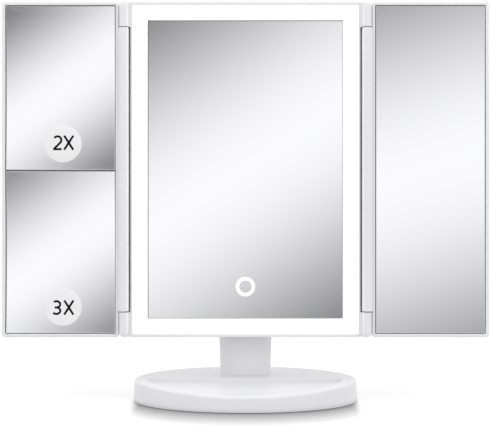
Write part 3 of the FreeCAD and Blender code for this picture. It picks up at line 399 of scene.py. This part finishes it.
def foot_skin():
    """Rings from the middle of the tray out over its lip, the top, the shoulder and the wall, then
    back inside the shell to the middle."""
    quarter = np.linspace(0, math.pi / 2, 9)
    rings = [on_roof(share * reach_tray(TRAY_FILLET), TRAY_DEPTH) for share in np.linspace(0, 1, 8)]
    for turn in quarter[1:]:
        out, up = math.sin(turn), 1 - math.cos(turn)
        rings.append(on_roof(reach_tray(TRAY_FILLET * (1 - out)), TRAY_DEPTH - TRAY_FILLET * up))
    for turn in quarter[::2]:
        out, up = 1 - math.cos(turn), math.sin(turn)
        rings.append(on_roof(reach_tray(-TRAY_LIP * out), TRAY_LIP * (1 - up)))
    lip, shoulder = on_roof(reach_tray(-TRAY_LIP), 0.0), on_edge(SHOULDER, 0.0)
    for share in np.linspace(0, 1, 8)[1:-1]:
        between = lip + share * (shoulder - lip)
        between[:, 2] = roof(between[:, 1])
        rings.append(between)
    for turn in quarter:
        rings.append(on_edge(SHOULDER * (1 - math.sin(turn)), SHOULDER * (1 - math.cos(turn))))
    upper, lower = on_edge(0.0, SHOULDER), on_base(0.0, EDGE_EASE)
    rings += [upper + share * (lower - upper) for share in (0.25, 0.5, 0.75, 1.0)]
    rings += [on_base(EDGE_EASE, 0.0), on_base(WALL_THICK, 0.0), on_edge(WALL_THICK, WALL_THICK + SHOULDER)]
    rings += [on_edge(WALL_THICK + SHOULDER, WALL_THICK), on_roof(reach_tray(-WALL_THICK), WALL_THICK)]
    under_tray = TRAY_DEPTH + WALL_THICK
    rings += [on_roof(share * reach_tray(-WALL_THICK), under_tray) for share in (1.0, 0.5, 0.0)]
    return skin(rings)


place(piece("foot_shell", [white_abs], foot_skin(), crease=50.0), "root", "white_abs", "base_top_shell")
dress(white_abs, "base_bottom_plate")


def metal(name, light, dark, roughness, line_mm, relief_mm):
    """Worked steel: two tones and a shine that change from one drawn or ground line to the next."""
    made = bpy.data.materials.new(name)
    made.use_nodes = True
    tree = made.node_tree
    tree.nodes.clear()
    spot = add(tree, "TexCoord").outputs["Object"]
    stretch = add(tree, "Mapping", {"Vector": spot, "Scale": (0.06, 1.0, 1.0)}).outputs[0]
    lines = add(tree, "TexNoise", {"Vector": stretch, "Scale": 1 / (line_mm * MM), "Detail": 3.0}).outputs[0]
    colour = add(tree, "Mix", {0: lines, 6: linear(light), 7: linear(dark)}, data_type="RGBA").outputs[2]
    dull = add(tree, "MapRange", {0: lines, 3: roughness - 0.08, 4: roughness + 0.12}).outputs[0]
    relief = add(tree, "Bump", {"Height": lines, "Distance": relief_mm * MM, "Strength": 0.5}).outputs[0]
    shader = add(tree, "BsdfPrincipled",
                 {"Base Color": colour, "Metallic": 1.0, "Roughness": dull, "Normal": relief})
    add(tree, "OutputMaterial", {"Surface": shader.outputs[0]})
    return made


# Cold-rolled mild steel, left as it came: grey, dull, with faint rolling lines.
rolled_steel = metal("mild_steel_cold_rolled", "B4B6BA", "96989C", 0.42, 0.5, 0.01)
dress(rolled_steel, "base_weight")

# Moulded rubber with a dusty bloom.
rubber = moulded("black_rubber_moulded", "3A3B3D", "2E2F31", 0.72, grain_mm=0.6, relief_mm=0.03, ior=1.52)
dress(rubber, "rubber_feet")

# Zinc-plated screws with a clear passivate: bright, a touch blue, finely turned.
zinc = metal("steel_zinc_plated", "C9CDD4", "AEB3BC", 0.28, 0.15, 0.004)
dress(zinc, "base_screws", "spine_screws", "neck_foot_screws", "neck_shell_screws")


# --- Neck ---------------------------------------------------------------------------------------
# An oval column in two ABS mouldings, parted front and back and tied by two screws, around a steel
# strip whose rolled eye carries the hinge.
def eased(node, name, materials, edge_mm=0.35, crease=32.0):
    """A copy of a CAD node with its triangles merged, its flats made whole and its edges eased."""
    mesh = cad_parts[node].data.copy()
    mesh.name = name
    mesh.materials.clear()
    for material in materials:
        mesh.materials.append(material)
    form = bmesh.new()
    form.from_mesh(mesh)
    bmesh.ops.remove_doubles(form, verts=form.verts, dist=0.002 * MM)
    bmesh.ops.dissolve_limit(form, angle_limit=math.radians(0.3), verts=form.verts, edges=form.edges)
    form.to_mesh(mesh)
    form.free()
    mesh.shade_smooth()
    mesh.set_sharp_from_angle(angle=math.radians(crease))
    made = bpy.data.objects.new(name, mesh)
    scene.collection.objects.link(made)
    bevel = made.modifiers.new("eased_edges", "BEVEL")
    bevel.width = edge_mm * MM
    bevel.segments = 2
    bevel.limit_method = "ANGLE"
    bevel.angle_limit = math.radians(crease)
    bevel.harden_normals = True
    return made


place(eased("neck_front_shell", "neck_front", [white_abs], 0.3), "root", "white_abs", "neck_front_shell")
place(eased("neck_rear_shell", "neck_rear", [white_abs], 0.3), "root", "white_abs", "neck_rear_shell")
dress(rolled_steel, "neck_spine")


# --- Tilt hinge ---------------------------------------------------------------------------------
# A steel axle through two lugs, nylon bushes and friction washers, with a nut that sets the drag
# and a moulded plug over each end.
turned_steel = metal("steel_turned_bright", "BFC1C6", "A6A8AD", 0.25, 0.12, 0.003)
dress(turned_steel, "tilt_axle", "tilt_nut")
# Natural nylon: milky, slightly waxy.
nylon = moulded("natural_nylon_moulded", "EFECE2", "E6E2D6", 0.45, grain_mm=0.5, relief_mm=0.004, ior=1.53)
dress(nylon, "tilt_bushes", "tilt_washers", "left_hinge_bushes", "right_hinge_bushes")
place(eased("tilt_covers", "tilt_plugs", [white_abs], 0.15), "head", "white_abs", "tilt_covers")


# --- Centre rim ---------------------------------------------------------------------------------
# One ABS moulding: a slim rim round the light band, and the fixed end of a hinge post at each
# corner, rounded in front and to the side.
rim_low, rim_high = corners("centre_rim")
diffuser_low, diffuser_high = corners("light_diffuser")
pin_low, pin_high = corners("right_hinge_pins")
FRONT_Y = corners("right_wing_back")[1][1] - 9.0  # the plane of the panels' front rims
HEAD_MID_Z = (rim_low[2] + rim_high[2]) / 2
HEAD_HALF_Z = (rim_high[2] - rim_low[2]) / 2
HEAD_HALF_X = corners("rear_housing")[1][0]
RIM_WIDE = 2.3
RIM_BACK = 12.0
HEAD_CORNER = 5.0
CAP_HIGH = 17.6
HINGE_X, HINGE_Y = (pin_low[0] + pin_high[0]) / 2, (pin_low[1] + pin_high[1]) / 2
CAP_R = rim_high[0] - HINGE_X
CAP_HALF = 3.3  # half width of a cap's oval front
CAP_CORNER = 3.4
CAP_LOW = 0.4  # how far its top stays below the rim's
CAP_MID_X = rim_high[0] - CAP_HALF
ROOT_PROUD = 0.1
BARREL_R = HINGE_X - corners("right_wing_frame")[0][0]
ROOT_X = HEAD_HALF_X - 1.5  # how far in the hinge posts run
RELIEF_X = 81.5  # beside a barrel the rim is cut back to here
STRIP_FRONT, STRIP_BACK = 5.4, 7.0
CORNER_STEPS = 10


def panel_ring(middle, half, inset, depth, radius):
    """A rounded rectangle in front view at a depth behind the rims' plane: four quarter circles,
    with the straight sides left between them."""
    quarter = np.arange(4)[:, None] * math.pi / 2
    turn = quarter + np.linspace(0, math.pi / 2, CORNER_STEPS + 1)
    reach = np.maximum(np.asarray(half) - inset - radius, 0)
    x = middle[0] + np.sign(np.cos(quarter + math.pi / 4)) * reach[0] + radius * np.cos(turn)
    z = middle[1] + np.sign(np.sin(quarter + math.pi / 4)) * reach[1] + radius * np.sin(turn)
    y = np.full_like(x, FRONT_Y + depth)
    return np.stack([x, y, z], axis=-1).reshape(-1, 3)


def rounded(start, end, steps=4):
    """A quarter oval between two (inset, depth) points: it leaves the first along the depth."""
    turn = np.linspace(0, math.pi / 2, steps + 1)
    inset = start[0] + (end[0] - start[0]) * (1 - np.cos(turn))
    depth = start[1] + (end[1] - start[1]) * np.sin(turn)
    return np.stack([inset, depth], axis=1).tolist()


def rim_skin():
    """The rim's section carried round the head, eased at its front edges and at the parting line. In
    front of the strips its upright sides step in, which leaves each barrel room to turn."""
    middle, whole, relieved = (0, HEAD_MID_Z), (HEAD_HALF_X, HEAD_HALF_Z), (RELIEF_X, HEAD_HALF_Z)
    behind = [(0.25, RIM_BACK), (0.0, RIM_BACK - 0.25), (0.0, STRIP_FRONT)]
    before = [(0.0, STRIP_FRONT)] + rounded((0.0, 0.3), (0.3, 0.0))
    inside = rounded((RIM_WIDE, 0.35), (RIM_WIDE - 0.35, 0.0))[::-1] + [(RIM_WIDE, RIM_BACK)]
    rings = [panel_ring(middle, whole, i, d, HEAD_CORNER - i) for i, d in behind]
    rings += [panel_ring(middle, relieved, i, d, 0.6 - i) for i, d in before]
    rings += [panel_ring(middle, whole, i, d, 0.3) for i, d in inside]
    return skin(rings, wrap=True)


def post_plan(less, steps=28):
    """Plan of a fixed cap: half an oval in front, straight back to its root in the rim."""
    turn = np.linspace(0, -math.pi, steps + 1)
    x = CAP_MID_X + (CAP_HALF - less) * np.cos(turn)
    y = HINGE_Y + (CAP_R - less) * np.sin(turn)
    root_y, back_y = FRONT_Y - ROOT_PROUD, FRONT_Y + STRIP_BACK
    tail = [(x[-1], root_y), (ROOT_X, root_y), (ROOT_X, back_y), (x[0], back_y)]
    return np.concatenate([np.stack([x, y], axis=1), np.array(tail)])


def cap_skin(side, top):
    """A fixed hinge cap: its plan carried up, drawn in to a rounded top corner, eased at its joint."""
    start, round_up = HEAD_HALF_Z - CAP_HIGH, np.linspace(0, math.pi / 2, 14)
    curve = CAP_CORNER * (1 - np.sin(round_up)) + CAP_LOW
    heights = np.concatenate([[start, start + 0.3], HEAD_HALF_Z - curve])
    limits = rim_high[0] - CAP_CORNER * (1 - np.concatenate([[1, 1], np.cos(round_up)]))
    eases = np.concatenate([[0.3, 0.0], 0.9 * (1 - np.cos(round_up))])
    rings = []
    for height, limit, less in zip(heights, limits, eases):
        plan = post_plan(less)
        x = side * np.minimum(plan[:, 0], limit)
        rings.append(np.stack([x, plan[:, 1], np.full(len(plan), HEAD_MID_Z + top * height)], axis=1))
    return skin(rings, caps=True)


def strip_skin(side):
    """The strip behind a barrel, from cap to cap: a flat bar."""
    x, y = np.array([ROOT_X, rim_high[0], rim_high[0], ROOT_X]), np.repeat([STRIP_FRONT, STRIP_BACK], 2)
    ends = HEAD_MID_Z + (HEAD_HALF_Z - CAP_HIGH + 0.5) * np.array([-1, 1])
    return skin([np.stack([side * x, FRONT_Y + y, np.full(4, z)], axis=1) for z in ends], caps=True)


posts = [cap_skin(side, top) for side in (-1, 1) for top in (-1, 1)]
posts += [strip_skin(side) for side in (-1, 1)]
place(piece("rim_and_caps", [white_abs], rim_skin(), *posts), "head", "white_abs", "centre_rim")


# --- Light band ---------------------------------------------------------------------------------
# An opal acrylic frame round the mirror, lit from behind by white LEDs on four strips, which shine
# into a white channel. Lit, it is evenly bright, a touch brighter over each LED.
LED_PITCH = 32.0
opal = bpy.data.materials.new("opal_acrylic_lit")
opal.use_nodes = True
tree = opal.node_tree
tree.nodes.clear()
spot = add(tree, "TexCoord").outputs["Object"]
cloud = add(tree, "TexNoise", {"Vector": spot, "Scale": 1 / (LED_PITCH * MM), "Detail": 1.0}).outputs[0]
warm = add(tree, "Mix", {0: cloud, 6: linear("FFFFFF"), 7: linear("FFFEFB")}, data_type="RGBA").outputs[2]
shine = add(tree, "MapRange", {0: cloud, 3: 1.02, 4: 1.12}).outputs[0]
dull = add(tree, "MapRange", {0: cloud, 3: 0.28, 4: 0.36}).outputs[0]
shader = add(tree, "BsdfPrincipled", {"Base Color": warm, "Roughness": dull, "IOR": 1.49,
                                      "Emission Color": warm, "Emission Strength": shine})
add(tree, "OutputMaterial", {"Surface": shader.outputs[0]})

glass_low, glass_high = corners("centre_mirror")
OPAL_FACE, OPAL_THICK, OPAL_SKIRT = 0.3, 3.0, 1.2
opal_half = (diffuser_high[0], (diffuser_high[2] - diffuser_low[2]) / 2)
band_wide = diffuser_high[0] - glass_high[0] - 0.15
skirt_back = diffuser_high[1] - FRONT_Y
section = [(0.0, skirt_back)] + rounded((0.0, OPAL_FACE + 0.3), (0.3, OPAL_FACE))
section += rounded((band_wide, OPAL_FACE + 0.3), (band_wide - 0.3, OPAL_FACE))[::-1]
opal_back = OPAL_FACE + OPAL_THICK
section += [(band_wide, opal_back), (OPAL_SKIRT, opal_back), (OPAL_SKIRT, skirt_back)]
opal_rings = [panel_ring((0, HEAD_MID_Z), opal_half, i, d, 0.2) for i, d in section]
place(piece("light_band", [opal], skin(opal_rings, wrap=True)), "head", "opal_acrylic", "light_diffuser")

# Glass-fibre board with white solder resist, and phosphor-topped LEDs.
board_white = moulded("board_white_resist", "F4F4F0", "E9E9E2", 0.4, grain_mm=1.2, relief_mm=0.01, ior=1.5)
dress(board_white, "led_board_top", "led_board_bottom", "led_board_left", "led_board_right")
phosphor = moulded("led_phosphor_cast", "F2DF8B", "E8CF66", 0.3, grain_mm=0.3, relief_mm=0.004, ior=1.5)
dress(phosphor, "led_chips")
reflector = moulded("reflector_abs_moulded", "F6F6F4", "F1F1EF", 0.22, grain_mm=1.0, relief_mm=0.003)
dress(reflector, "mirror_carrier")


# --- Glass --------------------------------------------------------------------------------------
# Float glass, silvered behind, its front edge ground to a fine arris. The two panes of the left side
# panel are slumped to a sphere, hollow side to the front.
BREATH_MM = 56.0


def silvered(name, light, dark):
    """Silver behind clear glass: nearly all the light comes back, very slightly cool, and the shine
    varies a very little over BREATH_MM."""
    made = bpy.data.materials.new(name)
    made.use_nodes = True
    tree = made.node_tree
    tree.nodes.clear()
    spot = add(tree, "TexCoord").outputs["Object"]
    breath = add(tree, "TexNoise", {"Vector": spot, "Scale": 1 / (BREATH_MM * MM), "Detail": 2.0}).outputs[0]
    colour = add(tree, "Mix", {0: breath, 6: linear(light), 7: linear(dark)}, data_type="RGBA").outputs[2]
    dull = add(tree, "MapRange", {0: breath, 3: 0.008, 4: 0.022}).outputs[0]
    shader = add(tree, "BsdfPrincipled", {"Base Color": colour, "Metallic": 1.0, "Roughness": dull})
    add(tree, "OutputMaterial", {"Surface": shader.outputs[0]})
    return made


silver = silvered("glass_silvered", "F6F6F9", "F5F5F8")


GRIT_MM = 0.4
# The way that the painted dark side of a pane's edge faces: up and to the left.
UP_AND_LEFT = (-0.7, 0.0, 0.7)


def ground_edge(name, painted_shade_tone, painted_light_tone):
    """The ground edge of a pane: a narrow slope painted with the room's dark side at the left and the top
    and its light side at the right and the bottom, a painted reflection chosen by the way it faces."""
    made = bpy.data.materials.new(name)
    made.use_nodes = True
    tree = made.node_tree
    tree.nodes.clear()
    spot = add(tree, "TexCoord").outputs
    grit = add(tree, "TexNoise", {"Vector": spot["Object"], "Scale": 1 / (GRIT_MM * MM)}).outputs[0]
    toward = add(tree, "VectorMath", {0: spot["Normal"], 1: UP_AND_LEFT}, operation="DOT_PRODUCT")
    side = add(tree, "MapRange", {0: toward.outputs["Value"], 1: -0.2, 2: 0.2}).outputs[0]
    # Painted reflection: the edge's colour follows the way it faces, not the light that falls on it.
    colour = add(tree, "Mix", {0: side, 6: linear(painted_light_tone), 7: linear(painted_shade_tone)}, data_type="RGBA").outputs[2]
    dull = add(tree, "MapRange", {0: grit, 3: 0.30, 4: 0.42}).outputs[0]
    relief = add(tree, "Bump", {"Height": grit, "Distance": 0.004 * MM, "Strength": 0.5}).outputs[0]
    shader = add(tree, "BsdfPrincipled",
                 {"Base Color": colour, "Roughness": dull, "Normal": relief, "IOR": 1.52})
    add(tree, "OutputMaterial", {"Surface": shader.outputs[0]})
    return made


# Painted reflection on the pane edges: a dark line on the centre mirror, a dull pale one on the others.
arris = ground_edge("glass_edge_painted_dark", "4A4B4E", "A0A2A5")
pale_arris = ground_edge("glass_edge_painted_pale", "BEC0C3", "DEE0E2")
# Grey paint over the silvering, seen at the back of each pane.
backing = moulded("mirror_backing_paint", "8A8F94", "7F8489", 0.55, grain_mm=0.8, relief_mm=0.01, ior=1.5)
PANE_SIDE = 24  # points along each side of a pane
PANE_SPARE = 0.15  # a side panel's pane reaches this much nearer to the wall of its pocket


def pane_ring(middle, half, share):
    """A rectangle with evenly spaced points, shrunk towards its middle by a share."""
    run = np.linspace(-1, 1, PANE_SIDE, endpoint=False)
    one = np.ones_like(run)
    x = np.concatenate([run, one, -run, -one])
    z = np.concatenate([-one, run, one, -run])
    return middle[0] + share * half[0] * x, middle[1] + share * half[1] * z


def pane_skin(low, high, face, thick, edge, radius=None):
    """A pane between two corners in front view: its face, the ground edge, its sides and its back.
    A radius makes it part of a sphere whose hollow faces the front and whose corners lie on the
    face's depth."""
    low, high = np.array(low), np.array(high)
    middle, half = (low + high) / 2, (high - low) / 2

    def depth(x, z):
        """How far the face lies behind the rims' plane at a point."""
        if radius is None:
            return np.full_like(x, face)
        away = (x - middle[0]) ** 2 + (z - middle[1]) ** 2
        return face + np.sqrt(radius**2 - away) - math.sqrt(radius**2 - half[0] ** 2 - half[1] ** 2)

    rings, paint = [], []
    for share in np.linspace(0, 1, 20):
        x, z = pane_ring(middle, half - edge, share)
        rings.append(np.stack([x, FRONT_Y + depth(x, z), z], axis=1))
        paint.append(0)
    paint[-1] = 1
    x, z = pane_ring(middle, half, 1.0)
    rings.append(np.stack([x, FRONT_Y + depth(x, z) + edge, z], axis=1))
    rings.append(np.stack([x, FRONT_Y + depth(x, z) + thick, z], axis=1))
    paint += [1, 2]
    for share in np.linspace(1, 0, 8)[1:]:
        x, z = pane_ring(middle, half, share)
        rings.append(np.stack([x, FRONT_Y + depth(x, z) + thick, z], axis=1))
        paint.append(2)
    return skin(rings, paint=paint[:-1])


def pane(name, node, body, edge, radius=None):
    """A silvered pane in the place of its CAD node."""
    low, high = corners(node)
    face = low[1] - FRONT_Y
    thick = 3.0 if node == "centre_mirror" else 2.0
    spare = 0.0 if node == "centre_mirror" else PANE_SPARE
    glass = pane_skin(low[[0, 2]] - spare, high[[0, 2]] + spare, face, thick, edge, radius)
    ground = arris if node == "centre_mirror" else pale_arris
    return place(piece(name, [silver, ground, backing], glass, crease=20.0), body, "silvered_glass", node)


pane("centre_glass", "centre_mirror", "head", 0.8)
pane("right_glass", "right_mirror", "right_wing", 0.45)
HOLLOW = {"upper": 1000.0, "lower": 750.0}  # radius of each magnifying pane
for level_name, hollow in HOLLOW.items():
    pane("left_glass_" + level_name, "left_mirror_" + level_name, "left_wing", 0.45, hollow)

# Closed-cell foam tape and pads.
foam = moulded("grey_foam_cut", "8E9094", "75777B", 0.9, grain_mm=0.9, relief_mm=0.15, ior=1.4)
dress(foam, "mirror_tape", "right_glass_pads", "left_glass_pads")


# --- Touch ring ---------------------------------------------------------------------------------
# A ring where the silvering is left off, lit from behind by a clear guide: a finger on it dims the
# light. The ring stands for that bare glass, three hundredths of a millimetre proud.
ring_low, ring_high = corners("touch_ring_guide")
RING_OUTER = (ring_high[0] - ring_low[0]) / 2
RING_INNER = 4.6
RING_Z = (ring_low[2] + ring_high[2]) / 2
RING_PROUD, RING_SUNK = 0.03, 0.02
RING_EDGE = 0.1


def ring_at(radius, y):
    """A circle of the touch ring at a radius."""
    x, z = radius * np.cos(around), RING_Z + radius * np.sin(around)
    return np.stack([x, np.full_like(around, y), z], axis=1)


sunk_y, proud_y = glass_low[1] + RING_SUNK, glass_low[1] - RING_PROUD
ring_rings = [ring_at(RING_OUTER, sunk_y), ring_at(RING_OUTER - RING_EDGE, proud_y),
              ring_at((RING_OUTER + RING_INNER) / 2, proud_y),
              ring_at(RING_INNER + RING_EDGE, proud_y), ring_at(RING_INNER, sunk_y)]
place(piece("touch_ring", [opal], skin(ring_rings, wrap=True)), "head", "opal_acrylic")
guide = moulded("clear_acrylic_turned", "E8EEF0", "DDE5E8", 0.12, grain_mm=0.5, relief_mm=0.002, ior=1.49)
dress(guide, "touch_ring_guide")


# --- Side panels --------------------------------------------------------------------------------
# Moulded ABS trays that hold the glass, each with a long hinge barrel on its inner edge, closed
# behind by a pillowed cover on six pegs.
panel_low, panel_high = corners("right_wing_back")
WING_HALF = ((panel_high[0] - panel_low[0]) / 2, (panel_high[2] - panel_low[2]) / 2)
WING_MID_X = (panel_high[0] + panel_low[0]) / 2
WING_CORNER, WING_RIM, POCKET, TRAY_BACK, WING_BACK = 2.0, 2.1, 6.0, 7.2, 9.0
CAP_GAP = 0.7
WEB_FRONT, WEB_BACK = 0.25, 5.0


def wing_rings(side, rows):
    """Rounded rectangles of a side panel, from rows of inset, depth and corner radius."""
    return [panel_ring((side * WING_MID_X, HEAD_MID_Z), WING_HALF, i, d, r) for i, d, r in rows]


def tray_skin(side):
    """The tray: from the middle of the pocket's floor up its wall, over the rim and round the back."""
    rows = [(WING_HALF[0], POCKET, 0.0), (WING_RIM, POCKET, 0.8)]
    rows += [(i, d, 0.8) for i, d in rounded((WING_RIM, 0.3), (WING_RIM - 0.3, 0.0))]
    rows += [(i, d, WING_CORNER - i) for i, d in rounded((0.0, 0.55), (0.55, 0.0))[::-1]]
    rows += [(0.0, TRAY_BACK - 0.2, WING_CORNER), (0.2, TRAY_BACK, WING_CORNER - 0.2)]
    rows += [(WING_HALF[0], TRAY_BACK, 0.0)]
    return skin(wing_rings(side, rows))


def barrel_skin(side):
    """The long barrel and the web behind it: a round from the web's front over the barrel's front and
    inner side to its back, carried up and eased at both ends."""
    end = HEAD_HALF_Z - CAP_HIGH - CAP_GAP
    web_x, web_front, web_back = panel_low[0] + 1.0, FRONT_Y + WEB_FRONT, FRONT_Y + WEB_BACK
    rings = []
    for height, less in ((-end, 0.25), (0.25 - end, 0.0), (end - 0.25, 0.0), (end, 0.25)):
        radius = BARREL_R - less
        turn = np.linspace(math.asin((web_front - HINGE_Y) / radius), -1.4 * math.pi, 34)
        x = np.concatenate([[web_x], HINGE_X + radius * np.cos(turn), [HINGE_X + 0.5, web_x]])
        y = np.concatenate([[web_front], HINGE_Y + radius * np.sin(turn), [web_back, web_back]])
        rings.append(np.stack([side * x, y, np.full(len(x), HEAD_MID_Z + height)], axis=1))
    return skin(rings, caps=True)


def cover_skin(side):
    """The back cover: its flat front, its edge, and the round into a flat back."""
    rows = [(WING_HALF[0], TRAY_BACK, 0.0), (0.2, TRAY_BACK, WING_CORNER - 0.2)]
    rows += [(0.0, TRAY_BACK + 0.2, WING_CORNER)]
    rows += [(i, d, WING_CORNER - i) for i, d in rounded((0.0, WING_BACK - 1.4), (1.4, WING_BACK), 7)]
    rows += [(WING_HALF[0], WING_BACK, 0.0)]
    return skin(wing_rings(side, rows))


for side, hand in ((1, "right"), (-1, "left")):
    body = hand + "_wing"
    tray = piece(hand + "_tray_and_barrel", [white_abs], tray_skin(side), barrel_skin(side))
    place(tray, body, "white_abs", hand + "_wing_frame")
    cover = piece(hand + "_back_cover", [white_abs], cover_skin(side))
    place(cover, body, "white_abs", hand + "_wing_back")
dress(turned_steel, "left_hinge_pins", "right_hinge_pins")


# --- Magnification labels -----------------------------------------------------------------------
# A round frosted film on each magnifying pane, with a plain numeral and a cross printed in black.
# Both lie on the pane's hollow.
LABEL_THICK = 0.15
INK_THICK, INK_SUNK = 0.03, 0.02
STROKE = 1.55
GLYPH_HIGH = 10.3

# Frosted polyester film: milky, with the silver still glinting through it.
film = bpy.data.materials.new("polyester_film_frosted")
film.use_nodes = True
tree = film.node_tree
tree.nodes.clear()
spot = add(tree, "TexCoord").outputs["Object"]
frost = add(tree, "TexNoise", {"Vector": spot, "Scale": 1 / (1.0 * MM), "Detail": 3.0}).outputs[0]
milk = add(tree, "Mix", {0: frost, 6: linear("F4F4F5"), 7: linear("EFEFF0")}, data_type="RGBA").outputs[2]
relief = add(tree, "Bump", {"Height": frost, "Distance": 0.01 * MM, "Strength": 0.5}).outputs[0]
shader = add(tree, "BsdfPrincipled",
             {"Base Color": milk, "Metallic": 0.12, "Roughness": 0.38, "Normal": relief})
add(tree, "OutputMaterial", {"Surface": shader.outputs[0]})
# Matt ink, more pigment than binder: hardly any shine.
ink = moulded("screen_ink_black", "040405", "080809", 0.7, grain_mm=0.5, relief_mm=0.004, ior=1.2)


def arc(middle, radii, start, end, steps=22):
    """Part of an oval between two angles in degrees."""
    turn = np.radians(np.linspace(start, end, steps))
    return np.stack([middle[0] + radii[0] * np.cos(turn), middle[1] + radii[1] * np.sin(turn)], axis=1)


# Strokes of each mark, in millimetres from its lower left corner.
NUMERALS = {
    "upper": [np.concatenate([arc((3.4, 7.05), (2.65, 2.65), 148, -45), [(0.85, 0.7)]]),
              np.array([(0.3, 0.59), (3.3, 0.59), (6.35, 0.59)])],
    "lower": [np.concatenate([arc((2.6, 7.4), (2.6, 2.22), 138, -90), [(1.3, 5.18)]]),
              np.concatenate([[(2.2, 5.18)], arc((2.5, 2.9), (2.8, 2.28), 90, -142)])],
}
CROSS_LEFT, CROSS_RIGHT = 8.1, 14.6
CROSS = [np.array([(CROSS_LEFT, GLYPH_HIGH - 0.1), (CROSS_RIGHT, 0.1)]),
         np.array([(CROSS_LEFT, 0.1), (CROSS_RIGHT, GLYPH_HIGH - 0.1)])]
LABEL_SHIFT = {"upper": 0.7, "lower": -0.5}  # how far the print sits above its label's middle

for level_name, hollow in HOLLOW.items():
    low, high = corners("left_mirror_" + level_name)
    disc_low, disc_high = corners("left_label_" + level_name)
    pane_mid, pane_half = (low + high) / 2, (high - low) / 2
    disc_mid = (disc_low + disc_high) / 2
    disc_r = (disc_high[0] - disc_low[0]) / 2
    corner_sag = math.sqrt(hollow**2 - pane_half[0] ** 2 - pane_half[2] ** 2)

    def on_hollow(x, z, proud):
        """Points a little in front of the pane's hollow face."""
        away = (x - pane_mid[0]) ** 2 + (z - pane_mid[2]) ** 2
        return np.stack([x, low[1] + np.sqrt(hollow**2 - away) - corner_sag - proud, z], axis=-1)

    rows = [(radius, LABEL_THICK) for radius in (0.0, 4.0, 8.0, disc_r - 0.15)]
    rows += [(disc_r - 0.03, LABEL_THICK - 0.05), (disc_r, 0.0), (0.0, 0.0)]
    rings = [on_hollow(disc_mid[0] + radius * np.cos(around), disc_mid[2] + radius * np.sin(around), proud)
             for radius, proud in rows]
    disc = piece("label_film_" + level_name, [film], skin(rings))
    place(disc, "left_wing", "frosted_film", "left_label_" + level_name)

    print_corner = [disc_mid[0] - CROSS_RIGHT / 2, disc_mid[2] - GLYPH_HIGH / 2 + LABEL_SHIFT[level_name]]
    strokes = []
    for line in NUMERALS[level_name] + CROSS:
        along = np.gradient(line, axis=0)
        along /= np.linalg.norm(along, axis=1)[:, None]
        left = np.stack([-along[:, 1], along[:, 0]], axis=1) * STROKE / 2
        middle = line + print_corner
        under, over = LABEL_THICK - INK_SUNK, LABEL_THICK - INK_SUNK + INK_THICK
        sides = [(middle + left, under), (middle + left, over), (middle - left, over), (middle - left, under)]
        rows = [on_hollow(edge[:, 0], edge[:, 1], proud) for edge, proud in sides]
        strokes.append(skin(np.stack(rows, axis=1), caps=True))
    printed = piece("label_print_" + level_name, [ink], *strokes, crease=30.0)
    place(printed, "left_wing", "black_plastic")


# --- Back of the centre panel -------------------------------------------------------------------
# The ABS back shell with its two hinge lugs, battery opening, switch slot and power inlet, fixed by
# six screws; the battery cover lifts off, and the switch slides.
place(eased("rear_housing", "back_shell", [white_abs], 0.3), "head", "white_abs", "rear_housing")
door = eased("battery_cover", "battery_door_cover", [white_abs], 0.2)
place(door, "battery_door", "white_abs", "battery_cover")
dress(zinc, "housing_screws", "board_screws")
black = moulded("black_abs_moulded", "1C1D1F", "151617", 0.4, grain_mm=0.4, relief_mm=0.006)
place(eased("switch_knob", "slide_knob", [black], 0.1), "switch_slider", "black_plastic", "switch_knob")
dress(black, "switch_body")
dress(white_abs, "battery_tray")


# --- Electrics ----------------------------------------------------------------------------------
# Boards, leads, contacts and cells.
TRACK_WAVES = 320.0  # about a millimetre from one track to the next


def board(name, light, dark):
    """Glass-fibre board under solder resist: parallel tracks show through as a paler weave."""
    made = bpy.data.materials.new(name)
    made.use_nodes = True
    tree = made.node_tree
    tree.nodes.clear()
    spot = add(tree, "TexCoord").outputs["Object"]
    tracks = add(tree, "TexWave", {"Vector": spot, "Scale": TRACK_WAVES, "Distortion": 2.5, "Detail": 1.0},
                 bands_direction="Z").outputs[1]
    mask = add(tree, "MapRange", {0: tracks, 1: 0.45, 2: 0.6}).outputs[0]
    colour = add(tree, "Mix", {0: mask, 6: linear(dark), 7: linear(light)}, data_type="RGBA").outputs[2]
    relief = add(tree, "Bump", {"Height": mask, "Distance": 0.035 * MM, "Strength": 0.7}).outputs[0]
    shader = add(tree, "BsdfPrincipled",
                 {"Base Color": colour, "Roughness": 0.3, "Normal": relief, "IOR": 1.5})
    add(tree, "OutputMaterial", {"Surface": shader.outputs[0]})
    return made


dress(board("board_green_resist", "2F8A52", "1D6B3C"), "control_board", "touch_board")
nickel = metal("steel_nickel_plated", "CFCCC4", "B9B6AD", 0.22, 0.12, 0.003)
dress(nickel, "usb_socket", "battery_plates", "battery_springs")
lead_pvc = moulded("lead_pvc_extruded", "B3201E", "99191A", 0.4, grain_mm=0.5, relief_mm=0.01, ior=1.53)
dress(lead_pvc, "internal_leads")
cell_wrap = moulded("cell_wrap_printed", "3F6FA8", "35619A", 0.3, grain_mm=0.6, relief_mm=0.004, ior=1.5)
dress(cell_wrap, "batteries")
